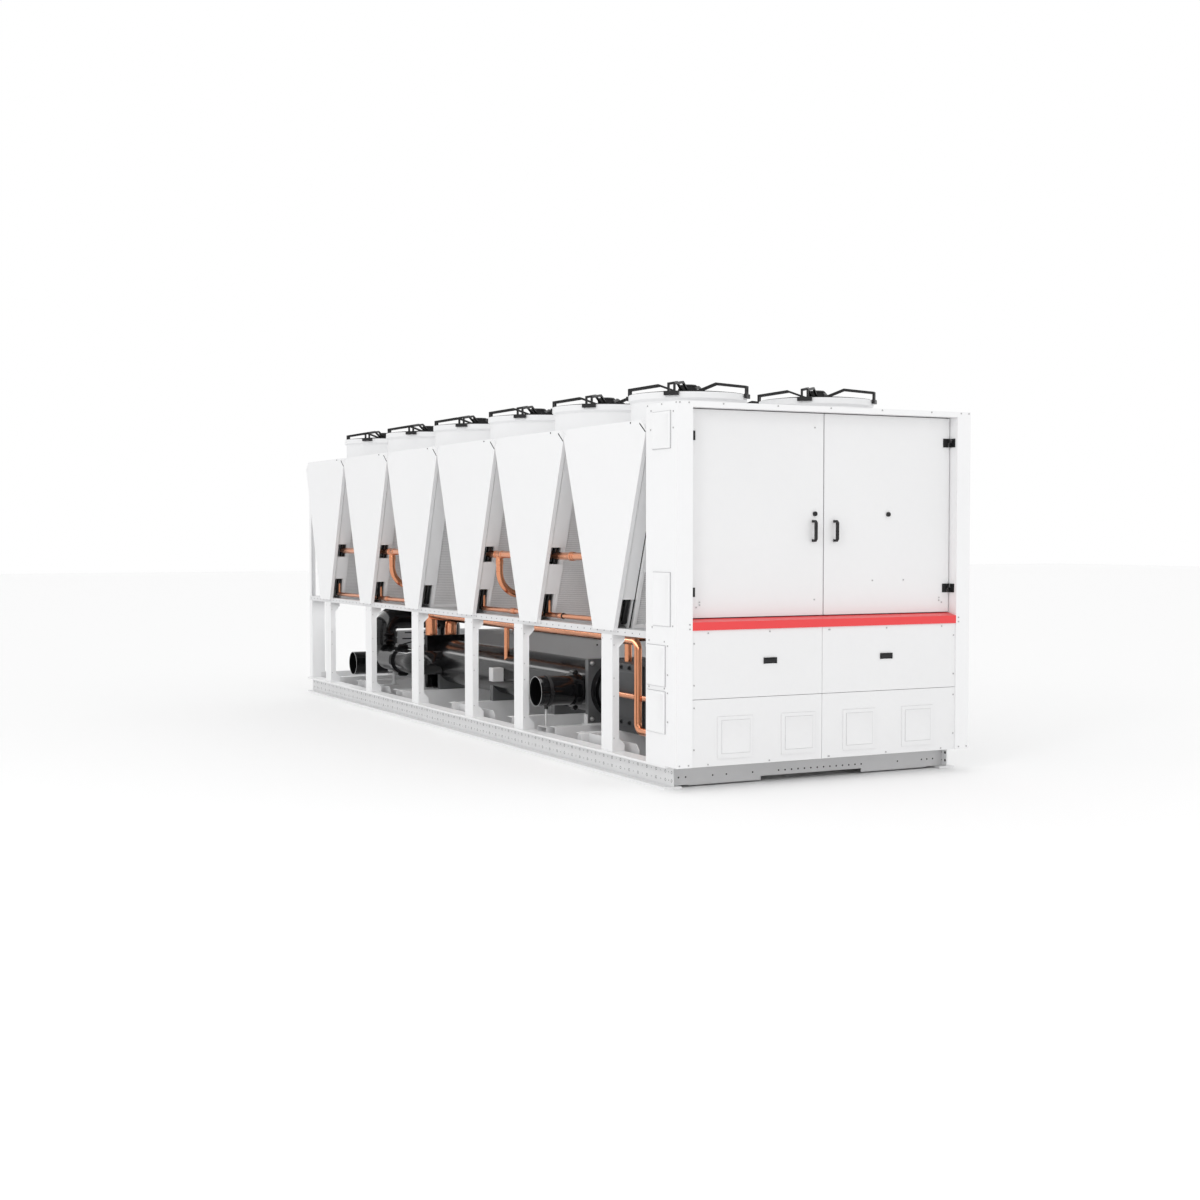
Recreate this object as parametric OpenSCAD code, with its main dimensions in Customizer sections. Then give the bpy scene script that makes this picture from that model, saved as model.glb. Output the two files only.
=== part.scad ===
// Air cooled water chiller: six V-shaped condenser modules with twelve fans on a steel base,
// a machine bay under them and an electrical cabinet at the front end.
// +X runs along the length to the cabinet, -Y is the side with the water connections, Z = 0 is the floor.

/* [Overall] */
// Width over the side panels
unit_w = 2260; // [2200:10:2400]
// Length of one condenser module
module_pitch = 1200; // [1180:10:1300]
// Depth of the electrical cabinet
cabinet_d = 400; // [360:10:480]
// Gap between neighbouring sheet pieces
seam = 3; // [2:1:5]
// Seating clearance between round or loose pieces
seat = 0.3; // [0.2:0.1:0.6]
// Thickness of the folded sheet
sheet = 4; // [3:0.5:5]

/* [Base] */
// Height of the base rails
rail_h = 150; // [140:5:180]
// Flange width of the base rails
rail_flange_w = 120; // [110:5:130]
// Flange thickness of the base rails
rail_flange_t = 14; // [10:1:18]
// Web thickness of the base rails
rail_web_t = 8; // [6:1:12]
// How far the rails stop short of the cabinet front
rail_setback = 150; // [100:10:200]
// Width of a base cross member
cross_w = 80; // [60:5:100]
// Top of the base cross members above the rails
cross_rise = 50; // [40:5:52]
// Distance of the base's side plates from the unit's side
side_plate_in = 175; // [155:5:230]
// Reach of a side plate behind its cross member
side_plate_back = 135; // [100:5:160]
// Reach of a side plate past the middle of its module
side_plate_out = 180; // [140:5:240]
// Corner cut of a side plate
side_plate_cut = 40; // [20:5:60]
// Thickness of the end plate under the cabinet
end_plate_t = 6; // [4:1:10]
// Distance of the end plate behind the cabinet front
end_plate_back = 200; // [180:5:240]
// Half width of the end plate at its foot
end_plate_half = 935; // [800:5:960]
// Half width of the raised middle of the end plate
end_plate_mid_half = 395; // [300:5:500]
// Floor clearance of the end plate
end_plate_gap = 10; // [5:1:20]
// Step in the lower edge of the end plate
end_plate_step = 25; // [15:1:40]

/* [Frame] */
// Top of the middle rails
mid_z = 975; // [965:5:1000]
// Face height of the middle rails
mid_rail_h = 45; // [40:1:60]
// Flange depth of the middle rails
mid_rail_d = 80; // [60:5:90]
// Width of a post
post_w = 160; // [140:5:180]
// Depth of a post's return
post_d = 50; // [40:5:60]
// Depth of the gusset at each end of a post
gusset_d = 92; // [80:2:96]
// Height of the straight part of a gusset
gusset_h = 45; // [30:5:80]
// Shift of the fifth post from its module's centre
post_shift = -237; // [-260:1:-200]
// Face width of the rear corner posts
rear_post_w = 80; // [70:5:100]
// Return of the rear corner posts
rear_post_d = 130; // [110:5:150]
// Leg of the rear columns
column_w = 60; // [50:5:75]

/* [Condenser modules] */
// Height of the fan deck
deck_z = 2320; // [2280:5:2360]
// Depth of the deck's folded edge
deck_edge = 66; // [40:2:68]
// Depth of a side panel's folded edge
panel_d = 30; // [25:1:40]
// Width of a side panel at its foot
panel_foot_w = 300; // [260:10:340]
// Overlap of a side panel on the middle rail
panel_lap = 15; // [8:1:25]
// Height of the corner cut at a side panel's top
panel_cut = 70; // [50:5:90]
// Thickness of a coil
coil_t = 50; // [40:2:56]
// Distance of a coil behind the edge of its side panel
coil_inset = 14; // [13:1:24]
// Length of the header end of a coil
header_l = 118; // [100:2:130]
// Thickness of a header cover
cover_t = 10; // [6:1:12]
// Foot of the header covers
cover_foot_z = 1165; // [1120:5:1200]
// Lower edge of the pipe gap in the header covers
cover_gap_lo = 1380; // [1320:5:1395]
// Upper edge of the pipe gap in the header covers
cover_gap_hi = 1500; // [1490:5:1560]

/* [Fans] */
// Distance of a fan from the middle of the unit
fan_y = 520; // [500:5:560]
// Shift of a fan from its module's centre toward the cabinet
fan_shift = 65; // [40:5:80]
// Throat radius of a fan ring
ring_r = 377; // [370:1:379]
// Wall of a fan ring
ring_t = 6; // [4:1:8]
// Height of a fan ring
ring_h = 205; // [190:5:230]
// Height of the rim band
rim_h = 40; // [30:2:50]
// Width of the rim band over the wall
rim_w = 17; // [12:1:24]
// Gap between the blade tips and the throat
tip_gap = 8; // [6:1:14]
// Radius of the fan hub
hub_r = 95; // [80:5:110]
// Height of the fan hub
hub_h = 80; // [60:5:90]
// Height of the hub's foot over the deck
hub_rise = 60; // [50:5:70]
// Blades on a fan
blade_n = 5; // [3:1:7]
// Chord of a blade at its root
blade_root = 120; // [90:5:130]
// Chord of a blade at its tip
blade_tip = 190; // [150:5:210]
// Forward sweep of a blade's tip, in degrees
blade_sweep = 24; // [10:1:30]
// Pitch of a blade, in degrees
blade_pitch = 22; // [15:1:28]
// Camber radius of a blade
blade_camber = 420; // [350:10:600]
// Blade thickness
blade_t = 4; // [3:0.5:5]
// Radius of the fan motor
motor_r = 65; // [55:1:75]
// Height of the fan motor's top over the rim
motor_rise = 75; // [60:5:90]
// Running gap between hub and motor
motor_gap = 8; // [6:1:12]
// Radius of the motor shaft
shaft_r = 15; // [10:1:20]
// Width of a fan support arm
arm_w = 14; // [10:1:20]
// Distance between the two bars of an arm
arm_gap = 26; // [20:1:40]
// Rise of an arm over the rim at its outer end
arm_rise = 58; // [45:1:70]
// Radius of an arm's highest bend
arm_bend_r = 200; // [180:5:240]
// Rise of an arm over the rim at its highest bend
arm_peak = 86; // [75:1:95]

/* [Cabinet] */
// Underside of the cabinet roof
cabinet_top = 2375; // [2365:5:2420]
// Height of the cabinet roof
roof_h = 35; // [25:1:50]
// Width of the corner posts beside the doors
corner_w = 110; // [100:5:130]
// Depth of the recess in front of the doors
recess = 78; // [70:1:90]
// Thickness of a door
door_t = 25; // [20:1:32]
// Underside of the red sill
sill_z = 999; // [985:1:1010]
// Height of the sill's front face
sill_h = 51; // [40:1:55]
// Height of the sill's top at the doors
sill_back_h = 68; // [60:1:75]
// Gap round the doors
door_gap = 6; // [5:1:8]
// Gap between the two doors
door_split = 8; // [7:1:12]
// Thickness of the lower panels
lower_t = 20; // [15:1:30]
// Place of the vertical joint between the lower panels
lower_split_y = -54; // [-80:1:-20]
// Place of the horizontal joint between the lower panels
lower_split_z = 570; // [500:5:640]
// Width of a cable entry cover
entry_w = 256; // [220:2:280]
// Height of a cable entry cover
entry_h = 262; // [220:2:280]
// Foot of the cable entry covers
entry_z = 195; // [180:5:220]
// Distance of the inner cable entry covers from the middle
entry_y1 = 236; // [220:2:260]
// Distance of the outer cable entry covers from the middle
entry_y2 = 708; // [680:2:760]
// Thickness of a cable entry cover
entry_t = 6; // [4:1:8]
// Reach of the panel pulls from the lower panels
pull_t = 8; // [8:1:12]
// Width of a panel pull
pull_w = 96; // [80:2:120]
// Height of a panel pull
pull_h = 38; // [30:1:50]
// Height of the panel pulls
pull_z = 797; // [740:1:840]
// Distance of the panel pulls from the middle
pull_y = 450; // [400:5:500]
// Height of the lower hinges
hinge_z1 = 1233; // [1200:1:1300]
// Height of the upper hinges
hinge_z2 = 2205; // [2100:1:2240]
// Height of a hinge
hinge_h = 58; // [50:2:70]
// Radius of a hinge knuckle
knuckle_r = 7; // [6:0.5:8]
// Gap between a hinge knuckle and the door
knuckle_gap = 1.5; // [1:0.5:3]
// Thickness of a hinge leaf
leaf_t = 5; // [4:0.5:6]
// Length of a hinge leaf
leaf_l = 38; // [30:1:46]
// Middle height of the door handles
handle_z = 1615; // [1500:5:1700]
// Height of a door handle
handle_h = 140; // [120:5:160]
// Reach of a door handle from the door
handle_out = 45; // [36:1:55]
// Distance of the handles from the joint of the doors
handle_y = 83; // [70:1:110]
// Bar thickness of a handle
handle_t = 16; // [12:1:20]
// Height of the locks
lock_z = 1725; // [1710:1:1760]
// Radius of a lock
lock_r = 15; // [12:1:20]
// Distance of the left lock from the joint of the doors
lock_left_y = 70; // [60:1:110]
// Distance of the right lock from the joint of the doors
lock_right_y = 510; // [460:5:560]

/* [Evaporator] */
// Distance of the evaporator from the middle of the unit
evap_y = -485; // [-500:5:-470]
// Height of the evaporator's axis
evap_z = 445; // [442:1:452]
// Radius of the insulated shell
evap_r = 195; // [185:1:198]
// Rear end of the evaporator, from the middle of the unit
evap_x0 = -1500; // [-1520:10:-1480]
// Front end of the evaporator, from the middle of the unit
evap_x1 = 1715; // [1712:1:1720]
// Side of a square tube plate
tube_plate_w = 470; // [440:5:475]
// Thickness of a tube plate
tube_plate_t = 50; // [40:2:60]
// Radius of a water head
head_r = 215; // [205:1:220]
// Length of a water head
head_l = 80; // [60:5:90]
// Length of the rear refrigerant head
rear_head_l = 200; // [180:5:220]
// Radius of the bolted head cover
head_cover_r = 190; // [170:1:200]
// Thickness of the bolted head cover
head_cover_t = 30; // [20:1:40]
// Thickness of the pads under the tube plates
plate_foot = 10; // [6:1:14]
// Width of an evaporator foot
foot_w = 60; // [50:2:80]
// Half width of an evaporator foot
foot_half = 160; // [140:5:160]

/* [Water pipes] */
// Outer radius of the water pipes
pipe_r = 109.5; // [100:0.5:110]
// Wall of the water pipes
pipe_t = 6; // [4:0.5:8]
// Place of the front water connection along the unit
front_pipe_x = 1600; // [1596:1:1602]
// Open end of the front water connection
front_pipe_y = -1070; // [-1080:5:-1050]
// Place of the rear water connection along the unit
rear_pipe_x = -2750; // [-2790:10:-2700]
// Open end of the rear water connection
rear_pipe_y = -1000; // [-1020:5:-960]
// Height of the rear water connection
rear_pipe_z = 356; // [345:1:370]
// Length of the hollow pipe end
pipe_mouth = 250; // [200:10:280]
// Land between a pipe's open end and its coupling groove
groove_land = 19; // [17:1:22]
// Width of a coupling groove
groove_w = 11; // [9:1:13]
// Depth of a coupling groove
groove_depth = 2.4; // [2:0.1:3]
// Distance of the front coupling from the open end
front_coupling = 310; // [300:5:315]
// Place of the rear shell branch along the unit
branch_x = -1350; // [-1360:5:-1330]
// Straight length of the rear branch before its bend
branch_stub = 45; // [35:1:50]
// Place of the riser along the unit
riser_x = -2270; // [-2300:10:-2250]
// Height of the upper cross pipe
loop_z = 815; // [808:1:818]
// Distance of the drop pipe from the middle
drop_y = -200; // [-230:5:-180]
// Bend radius of the water pipes
bend_r = 125; // [118:1:127]
// Width of a grooved coupling
coupling_w = 56; // [45:1:60]
// Radial thickness of a grooved coupling
coupling_t = 18; // [12:1:24]
// Radius of a coupling's bolt lug
lug_r = 20; // [16:1:24]
// Length of a coupling's bolt lug
lug_l = 62; // [50:2:70]
// Distance of the branch run's coupling from the riser
run_coupling = 495; // [440:5:520]
// Distance of the pipe clamp from the open end
clamp_in = 85; // [75:5:95]
// Width of the pipe clamp
clamp_w = 24; // [20:1:30]
// Thickness of the pipe clamp
clamp_t = 6; // [4:1:8]
// Length of the clamp's ears
ear_l = 20; // [14:1:26]
// Height of the clamp's ears
ear_h = 16; // [10:1:20]
// Height of the boss under the clamp
boss_h = 18; // [12:1:24]
// Radius of the support rod
rod_r = 8; // [6:1:12]
// Width of the support bracket
bracket_w = 147; // [120:1:147]
// Height of the support bracket
bracket_h = 40; // [30:1:50]
// Distance of the bracket's rear edge behind the rod
bracket_back = 37; // [37:1:60]
// Seat of the support bracket on the rail
bracket_lap = 25; // [15:1:40]

/* [Machine bay] */
// Rear face of the front compressor
comp_x0 = 1930; // [1915:5:1950]
// Length of a compressor
comp_l = 640; // [560:10:700]
// Width of a compressor
comp_w = 560; // [500:10:570]
// Top of a compressor
comp_top = 690; // [650:5:720]
// Near face of the front compressor
comp_y0 = -690; // [-700:5:-670]
// Rear face of the second compressor
comp2_x0 = -1950; // [-1980:5:-1920]
// Near face of the second compressor
comp2_y0 = 0; // [-20:5:40]
// Edge rounding of a compressor
comp_edge = 40; // [20:5:60]
// Rear face of the compressor enclosure
encl_x0 = -850; // [-880:10:-800]
// Length of the compressor enclosure
encl_l = 1450; // [1350:10:1500]
// Near face of the compressor enclosure
encl_y0 = 0; // [-40:5:20]
// Width of the compressor enclosure
encl_w = 900; // [800:10:960]
// Top of the compressor enclosure
encl_top = 880; // [840:5:900]
// Front face of the rear service box, from the middle of the unit
service_x = -3000; // [-3050:10:-2950]
// Depth of the rear service box
service_d = 160; // [120:10:200]
// Near face of the rear service box, from the middle
service_y0 = -500; // [-520:5:-460]
// Width of the rear service box
service_w = 860; // [800:10:900]
// Top of the rear service box
service_top = 640; // [600:5:680]
// Side of the junction box
box_w = 90; // [70:5:110]
// Place of the junction box along the unit
box_x = 40; // [0:10:80]

/* [Refrigerant pipes] */
// Radius of the suction pipes
suction_r = 54; // [48:1:58]
// Place of the suction pipes along the unit
suction_x = -1650; // [-1670:5:-1630]
// Distance of the inner suction pipe from the middle
suction_in_y = -430; // [-450:5:-410]
// Where the inner suction pipe lands on the second compressor, from the middle
suction_land_y = 250; // [200:10:320]
// Distance of the suction header from the middle
header_y = -620; // [-640:5:-600]
// Distance of the header's foot from the front compressor's end
main_in = 270; // [255:5:285]
// Place of the small tap between header and shell
tap_x = 60; // [20:10:100]
// Radius of the small tap
tap_r = 22; // [15:0.5:26]
// Radius of the suction header
main_r = 40; // [34:1:44]
// Height of the suction header
main_z = 860; // [850:1:868]
// Radius of the gas lines beside the coils
gas_r = 27; // [22:1:32]
// Height of the gas lines beside the coils
gas_z = 1440; // [1420:1:1455]
// Radius of the liquid lines
liquid_r = 18; // [14:0.5:20]
// Height of the liquid lines
liquid_z = 1015; // [1005:1:1040]
// Radius of the liquid risers
stub_r = 9; // [7:0.5:10]
// Shift of the gas line tees from the joint of two modules
tee_shift = -120; // [-150:5:-80]
// Height of the gas branches where they run in to the header
down_z = 1128; // [1122:1:1132]
// Bend radius of a gas branch under its tee
branch_bend = 180; // [150:5:200]
// Radius of the bent pipe before the compressor
hot_r = 27; // [22:1:30]
// Place of the bent pipe along the unit
hot_x = 2700; // [2680:5:2720]
// Distance of the bent pipe from the middle
hot_y = -810; // [-825:5:-805]
// Upper run of the bent pipe
hot_top = 865; // [850:1:880]
// Lower run of the bent pipe
hot_low = 255; // [250:1:300]
// Distance of the bent pipe's foot from the compressor's end
hot_in = 380; // [370:5:400]
// Where the bent pipe lands on the compressor, from the middle
hot_land_y = -480; // [-500:5:-440]
// Radius of the plain pipe before the compressor
plain_r = 21; // [16:1:24]
// Distance of the plain pipe's start from the compressor's end
plain_in = 170; // [160:5:200]
// Distance of the plain pipe from the middle
plain_y = -745; // [-750:5:-740]
// Height of the plain pipe
plain_z = 470; // [440:5:500]

/* [Hidden] */
$fn = 96;

white = [0.93, 0.93, 0.94];
light_grey = [0.80, 0.80, 0.81];
mid_grey = [0.62, 0.62, 0.63];
black = [0.05, 0.05, 0.055];
dark_grey = [0.20, 0.21, 0.22];
copper = [0.72, 0.40, 0.25];
red = [0.85, 0.12, 0.14];
aluminium = [0.66, 0.67, 0.68];

module_n = 6;
unit_l = module_n * module_pitch + cabinet_d;
x_rear = -unit_l / 2;
x_front = unit_l / 2;
x_cab = x_front - cabinet_d;
side_y = unit_w / 2;
frame_y = side_y - panel_d;
side_plate_y = side_y - side_plate_in;
rail_web_y = side_y - rail_flange_w / 2;
rail_in_y = side_y - rail_flange_w;
cross_top = rail_h + cross_rise;
mid_low_z = mid_z - mid_rail_h;
front_head_x = evap_x1 + tube_plate_t;
rear_head_x = evap_x0 - tube_plate_t;
plate_low = cross_top + plate_foot;
function module_x(i) = x_rear + module_pitch * (i + 0.5);
function fan_x(i) = module_x(i) + fan_shift;

panel_half = module_pitch / 2 - seam / 2;
panel_full_z = deck_z - panel_cut;
// Outer edge of a side panel at height z, as a distance from its module's centre
panel_slope = (panel_half - panel_foot_w / 2) / (panel_full_z - mid_z);
function panel_edge(z) = panel_foot_w / 2 + panel_slope * (z - mid_z);
// Outer face of a coil at height z
function coil_face(z) = panel_edge(z) - coil_inset;
lean = atan(panel_slope);
coil_width_x = coil_t / cos(lean);
deck_low_z = deck_z - deck_edge;
rim_z = deck_z + ring_h;
rim_r = ring_r + ring_t + rim_w;
motor_top = rim_z + motor_rise;
hub_z = deck_z + hub_rise;
hub_top = hub_z + hub_h;
motor_low = hub_top + motor_gap;

door_face_x = x_front - recess;
corner_y = side_y - corner_w;
// Hinge axis of the right door; the left one mirrors it
pin_x = door_face_x + knuckle_r + knuckle_gap;
pin_y = corner_y - knuckle_r - leaf_t;
door_out_y = corner_y - door_gap;
leaf_out_y = pin_y - knuckle_r - 2;
lower_face_x = x_front - pull_t;
door_low_z = sill_z + sill_back_h + door_gap;
door_top_z = cabinet_top - door_gap;

box_h = box_w + 20;
pipe_joint = 2 * seat;

// Bars along one axis
module bar_x(x0, x1, y, z, r) { translate([x0, y, z]) rotate([0, 90, 0]) cylinder(h = x1 - x0, r = r); }
module bar_y(x, y0, y1, z, r) { translate([x, y1, z]) rotate([90, 0, 0]) cylinder(h = y1 - y0, r = r); }
module bar_z(x, y, z0, z1, r) { translate([x, y, z0]) cylinder(h = z1 - z0, r = r); }
function bend_turn(a, b) = a > 0 ? (b > 0 ? 180 : 90) : (b > 0 ? 270 : 0);
// Quarter bend between two legs that point along a (first axis) and b (second axis) from their corner
module bend(a, b, r, bend) {
    translate([a * bend, b * bend, 0]) rotate([0, 0, bend_turn(a, b)])
        rotate_extrude(angle = 90) translate([bend, 0]) circle(r = r);
}
module bend_xy(p, a, b, r, bend) { translate(p) bend(a, b, r, bend); }
module bend_xz(p, a, b, r, bend) { translate(p) rotate([90, 0, 0]) bend(a, b, r, bend); }
module bend_yz(p, a, b, r, bend) { translate(p) rotate([90, 0, 90]) bend(a, b, r, bend); }
// Extrusions of an outline: drawn in X and Z and run along Y, or drawn in Y and Z and run along X
module run_y(y0, y1) { translate([0, y1, 0]) rotate([90, 0, 0]) linear_extrude(y1 - y0) children(); }
module run_x(x0, x1) { translate([x0, 0, 0]) rotate([90, 0, 90]) linear_extrude(x1 - x0) children(); }
module both_sides() {
    children();
    mirror([0, 1, 0]) children();
}

module base_rails() {
    color(light_grey) both_sides() run_x(x_rear, x_front - rail_setback) union() {
        translate([-side_y, 0]) square([rail_flange_w, rail_flange_t]);
        translate([-side_y, rail_h - rail_flange_t]) square([rail_flange_w, rail_flange_t]);
        translate([-rail_web_y - rail_web_t / 2, 0]) square([rail_web_t, rail_h]);
    }
}

// Cross members stand at the joints between modules and under the cabinet
cross_x = [for (i = [0 : module_n]) i == 0 ? x_rear + cross_w / 2 : i == module_n ? x_cab - cross_w / 2
           : x_rear + i * module_pitch];
// More of them carry the tube plates of the evaporator and the rear service box
bearer_x = [front_head_x, rear_head_x, service_x - service_d / 2];
// Upright plate inside the rail, cut through by the cross member before module i
module side_plate(i) {
    x = x_rear + i * module_pitch;
    x0 = x - side_plate_back;
    x1 = module_x(i) + side_plate_out;
    difference() {
        run_y(-side_plate_y, -side_plate_y + rail_web_t) polygon([
            [x0, rail_flange_t], [x1, rail_flange_t], [x1, cross_top - side_plate_cut],
            [x1 - side_plate_cut, cross_top], [x0 + side_plate_cut, cross_top], [x0, cross_top - side_plate_cut]]);
        translate([x - cross_w / 2 - seat, -side_y, 0]) cube([cross_w + 2 * seat, side_y, cross_top + 1]);
    }
}
module base_cross_members() {
    color(light_grey) {
        for (x = concat(cross_x, bearer_x)) difference() {
            translate([x - cross_w / 2, -rail_in_y + seat, rail_flange_t])
                cube([cross_w, 2 * (rail_in_y - seat), cross_top - rail_flange_t]);
            translate([x - cross_w / 2 - 1, -rail_in_y, rail_flange_t + sheet])
                cube([cross_w - sheet + 1, 2 * rail_in_y, cross_top - rail_flange_t - 2 * sheet]);
        }
        both_sides() for (i = [1 : 2 : module_n - 1]) side_plate(i);
    }
}

// End plate with a wing between the flanges of each rail
module front_end_plate() {
    x = x_front - end_plate_back;
    web = rail_web_y - rail_web_t / 2 - seat;
    low = rail_flange_t + seat;
    high = rail_h - rail_flange_t - seat;
    top = rail_in_y - seat;
    color(mid_grey) run_x(x - end_plate_t, x) polygon([
        [-end_plate_half, end_plate_gap], [-end_plate_mid_half, end_plate_gap],
        [-end_plate_mid_half, end_plate_gap + end_plate_step],
        [end_plate_mid_half, end_plate_gap + end_plate_step],
        [end_plate_mid_half, end_plate_gap], [end_plate_half, end_plate_gap],
        [end_plate_half, low], [web, low], [web, high], [top, high], [top, rail_h],
        [-top, rail_h], [-top, high], [-web, high], [-web, low], [-end_plate_half, low]]);
}

// Folded post with a gusset at each end of both returns
module post(x, w) {
    low = rail_h;
    high = mid_low_z;
    bevel = gusset_d - post_d;
    translate([x - w / 2, -frame_y, low]) cube([w, sheet, high - low]);
    for (s = [0, 1]) translate([x - w / 2 + s * (w - sheet), 0, 0]) run_x(0, sheet) polygon([
        [-frame_y, low], [-frame_y + gusset_d, low], [-frame_y + gusset_d, low + gusset_h],
        [-frame_y + post_d, low + gusset_h + bevel], [-frame_y + post_d, high - gusset_h - bevel],
        [-frame_y + gusset_d, high - gusset_h], [-frame_y + gusset_d, high], [-frame_y, high]]);
}

post_x = [for (i = [0 : module_n - 1]) module_x(i) + (i == 4 ? post_shift : 0)];
// Rear corner post with one deep return, cut out over the last cross member
module rear_post() {
    low = rail_h;
    high = mid_low_z;
    notch = cross_top + seat;
    translate([x_rear, -frame_y, low]) cube([rear_post_w, sheet, high - low]);
    run_x(x_rear + rear_post_w - sheet, x_rear + rear_post_w) polygon([
        [-frame_y, low], [-rail_in_y - seat, low], [-rail_in_y - seat, notch],
        [-frame_y + rear_post_d, notch], [-frame_y + rear_post_d, high], [-frame_y, high]]);
}
module posts() {
    color(white) both_sides() {
        for (x = post_x) post(x, post_w);
        rear_post();
    }
}

module rear_columns() {
    color(white) both_sides() translate([x_rear, -frame_y, mid_z]) difference() {
        cube([column_w, column_w, deck_low_z - mid_z]);
        translate([sheet, sheet, -1]) cube([column_w, column_w, deck_low_z - mid_z + 2]);
    }
}

module mid_rails() {
    color(white) both_sides() run_x(x_rear, x_cab) union() {
        translate([-frame_y, mid_low_z]) square([sheet, mid_rail_h]);
        translate([-frame_y, mid_low_z]) square([mid_rail_d, sheet]);
        translate([-frame_y, mid_z - sheet]) square([mid_rail_d, sheet]);
    }
}

// Trays across the unit that carry the feet of the two coils of a module
module coil_beams() {
    half = panel_foot_w / 2 - 2;
    y = frame_y - mid_rail_d - seat;
    color(light_grey) for (i = [0 : module_n - 1]) translate([module_x(i), 0, 0]) difference() {
        translate([-half, -y, mid_low_z]) cube([2 * half, 2 * y, mid_rail_h]);
        translate([-half + sheet, -y - 1, mid_low_z - 1])
            cube([2 * (half - sheet), 2 * y + 2, mid_rail_h - sheet + 1]);
    }
}

// One leaning slab between two heights, thick inward from a face line
module leaning(z0, z1, out, thick) {
    polygon([[coil_face(z0) + out, z0], [coil_face(z1) + out, z1],
             [coil_face(z1) + out - thick, z1], [coil_face(z0) + out - thick, z0]]);
}
coil_top_z = min(panel_full_z, deck_low_z) - seam;
// Coils and covers stop inside the sheet of the rear columns
coil_end_y = frame_y - sheet - seat;
module both_coils() {
    for (i = [0 : module_n - 1], s = [0, 1]) translate([module_x(i), 0, 0]) mirror([s, 0, 0]) children();
}
module condenser_coils() {
    color(aluminium) both_coils() run_y(-frame_y + header_l, coil_end_y) leaning(mid_z, coil_top_z, 0, coil_width_x);
}

// Covers over the coil headers; every third module has one long cover, the others leave a gap for pipes
module header_covers() {
    thick = coil_width_x + cover_t;
    color(light_grey) for (i = [0 : module_n - 1], s = [0, 1]) translate([module_x(i), 0, 0]) mirror([s, 0, 0])
        run_y(-coil_end_y, -frame_y + header_l - seat)
            if (i % 3 == 2) {
                leaning(cover_foot_z, coil_top_z, cover_t, thick);
            } else {
                leaning(cover_foot_z, cover_gap_lo, cover_t, thick);
                leaning(cover_gap_hi, coil_top_z, cover_t, thick);
            }
}

module panel_outline(in) {
    polygon([[-panel_foot_w / 2 + in, mid_z - panel_lap + in], [panel_foot_w / 2 - in, mid_z - panel_lap + in],
             [panel_half - in, panel_full_z], [panel_half - panel_cut - in / 2, deck_z - in],
             [-panel_half + panel_cut + in / 2, deck_z - in], [-panel_half + in, panel_full_z]]);
}
module side_panels() {
    color(white) both_sides() for (i = [0 : module_n - 1]) translate([module_x(i), 0, 0]) difference() {
        run_y(-side_y, -frame_y) panel_outline(0);
        run_y(-side_y + sheet, -frame_y + 1) panel_outline(sheet);
    }
}

module fan_deck() {
    color(white) for (i = [0 : module_n - 1]) difference() {
        translate([module_x(i) - panel_half, -frame_y, deck_low_z]) cube([2 * panel_half, 2 * frame_y, deck_edge]);
        translate([module_x(i) - panel_half + sheet, -frame_y + sheet, deck_low_z - 1])
            cube([2 * (panel_half - sheet), 2 * (frame_y - sheet), deck_edge - sheet + 1]);
        for (s = [-1, 1]) translate([fan_x(i), s * fan_y, deck_low_z]) cylinder(h = deck_edge + 1, r = ring_r);
    }
}

module fan_ring(x, y) {
    wall = ring_r + ring_t;
    translate([x, y, deck_z]) rotate_extrude() polygon([
        [ring_r, 0], [wall, 0], [wall, ring_h - rim_h - rim_w], [rim_r, ring_h - rim_h],
        [rim_r, ring_h], [ring_r, ring_h]]);
}
module near_fan_rings() { color(white) for (i = [0 : module_n - 1]) fan_ring(fan_x(i), -fan_y); }
module far_fan_rings() { color(white) for (i = [0 : module_n - 1]) fan_ring(fan_x(i), fan_y); }

module at_fans() {
    for (i = [0 : module_n - 1], s = [-1, 1]) translate([fan_x(i), s * fan_y, 0]) children();
}
fin_n = 5;
fin_depth = 6;
collar_h = 20;
collar_t = 8;
collar_z = motor_top - 60;
// Ribbed motor over the hub, with its shaft in the hub's bore
module fan_motors() {
    rib = (motor_top - motor_low) / (2 * fin_n + 1);
    color(black) at_fans() union() {
        rotate_extrude() polygon(concat([[0, motor_low], [motor_r, motor_low]],
            [for (k = [0 : fin_n - 1]) each [[motor_r, motor_low + (2 * k + 1) * rib],
                [motor_r - (k == fin_n - 2 || k == fin_n - 3 ? 0 : fin_depth), motor_low + (2 * k + 1) * rib],
                [motor_r - (k == fin_n - 2 || k == fin_n - 3 ? 0 : fin_depth), motor_low + (2 * k + 2) * rib],
                [motor_r, motor_low + (2 * k + 2) * rib]]],
            [[motor_r, motor_top - 8], [motor_r - 8, motor_top], [0, motor_top]]));
        translate([0, 0, hub_z + 10]) cylinder(h = motor_low - hub_z, r = shaft_r);
    }
}

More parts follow.
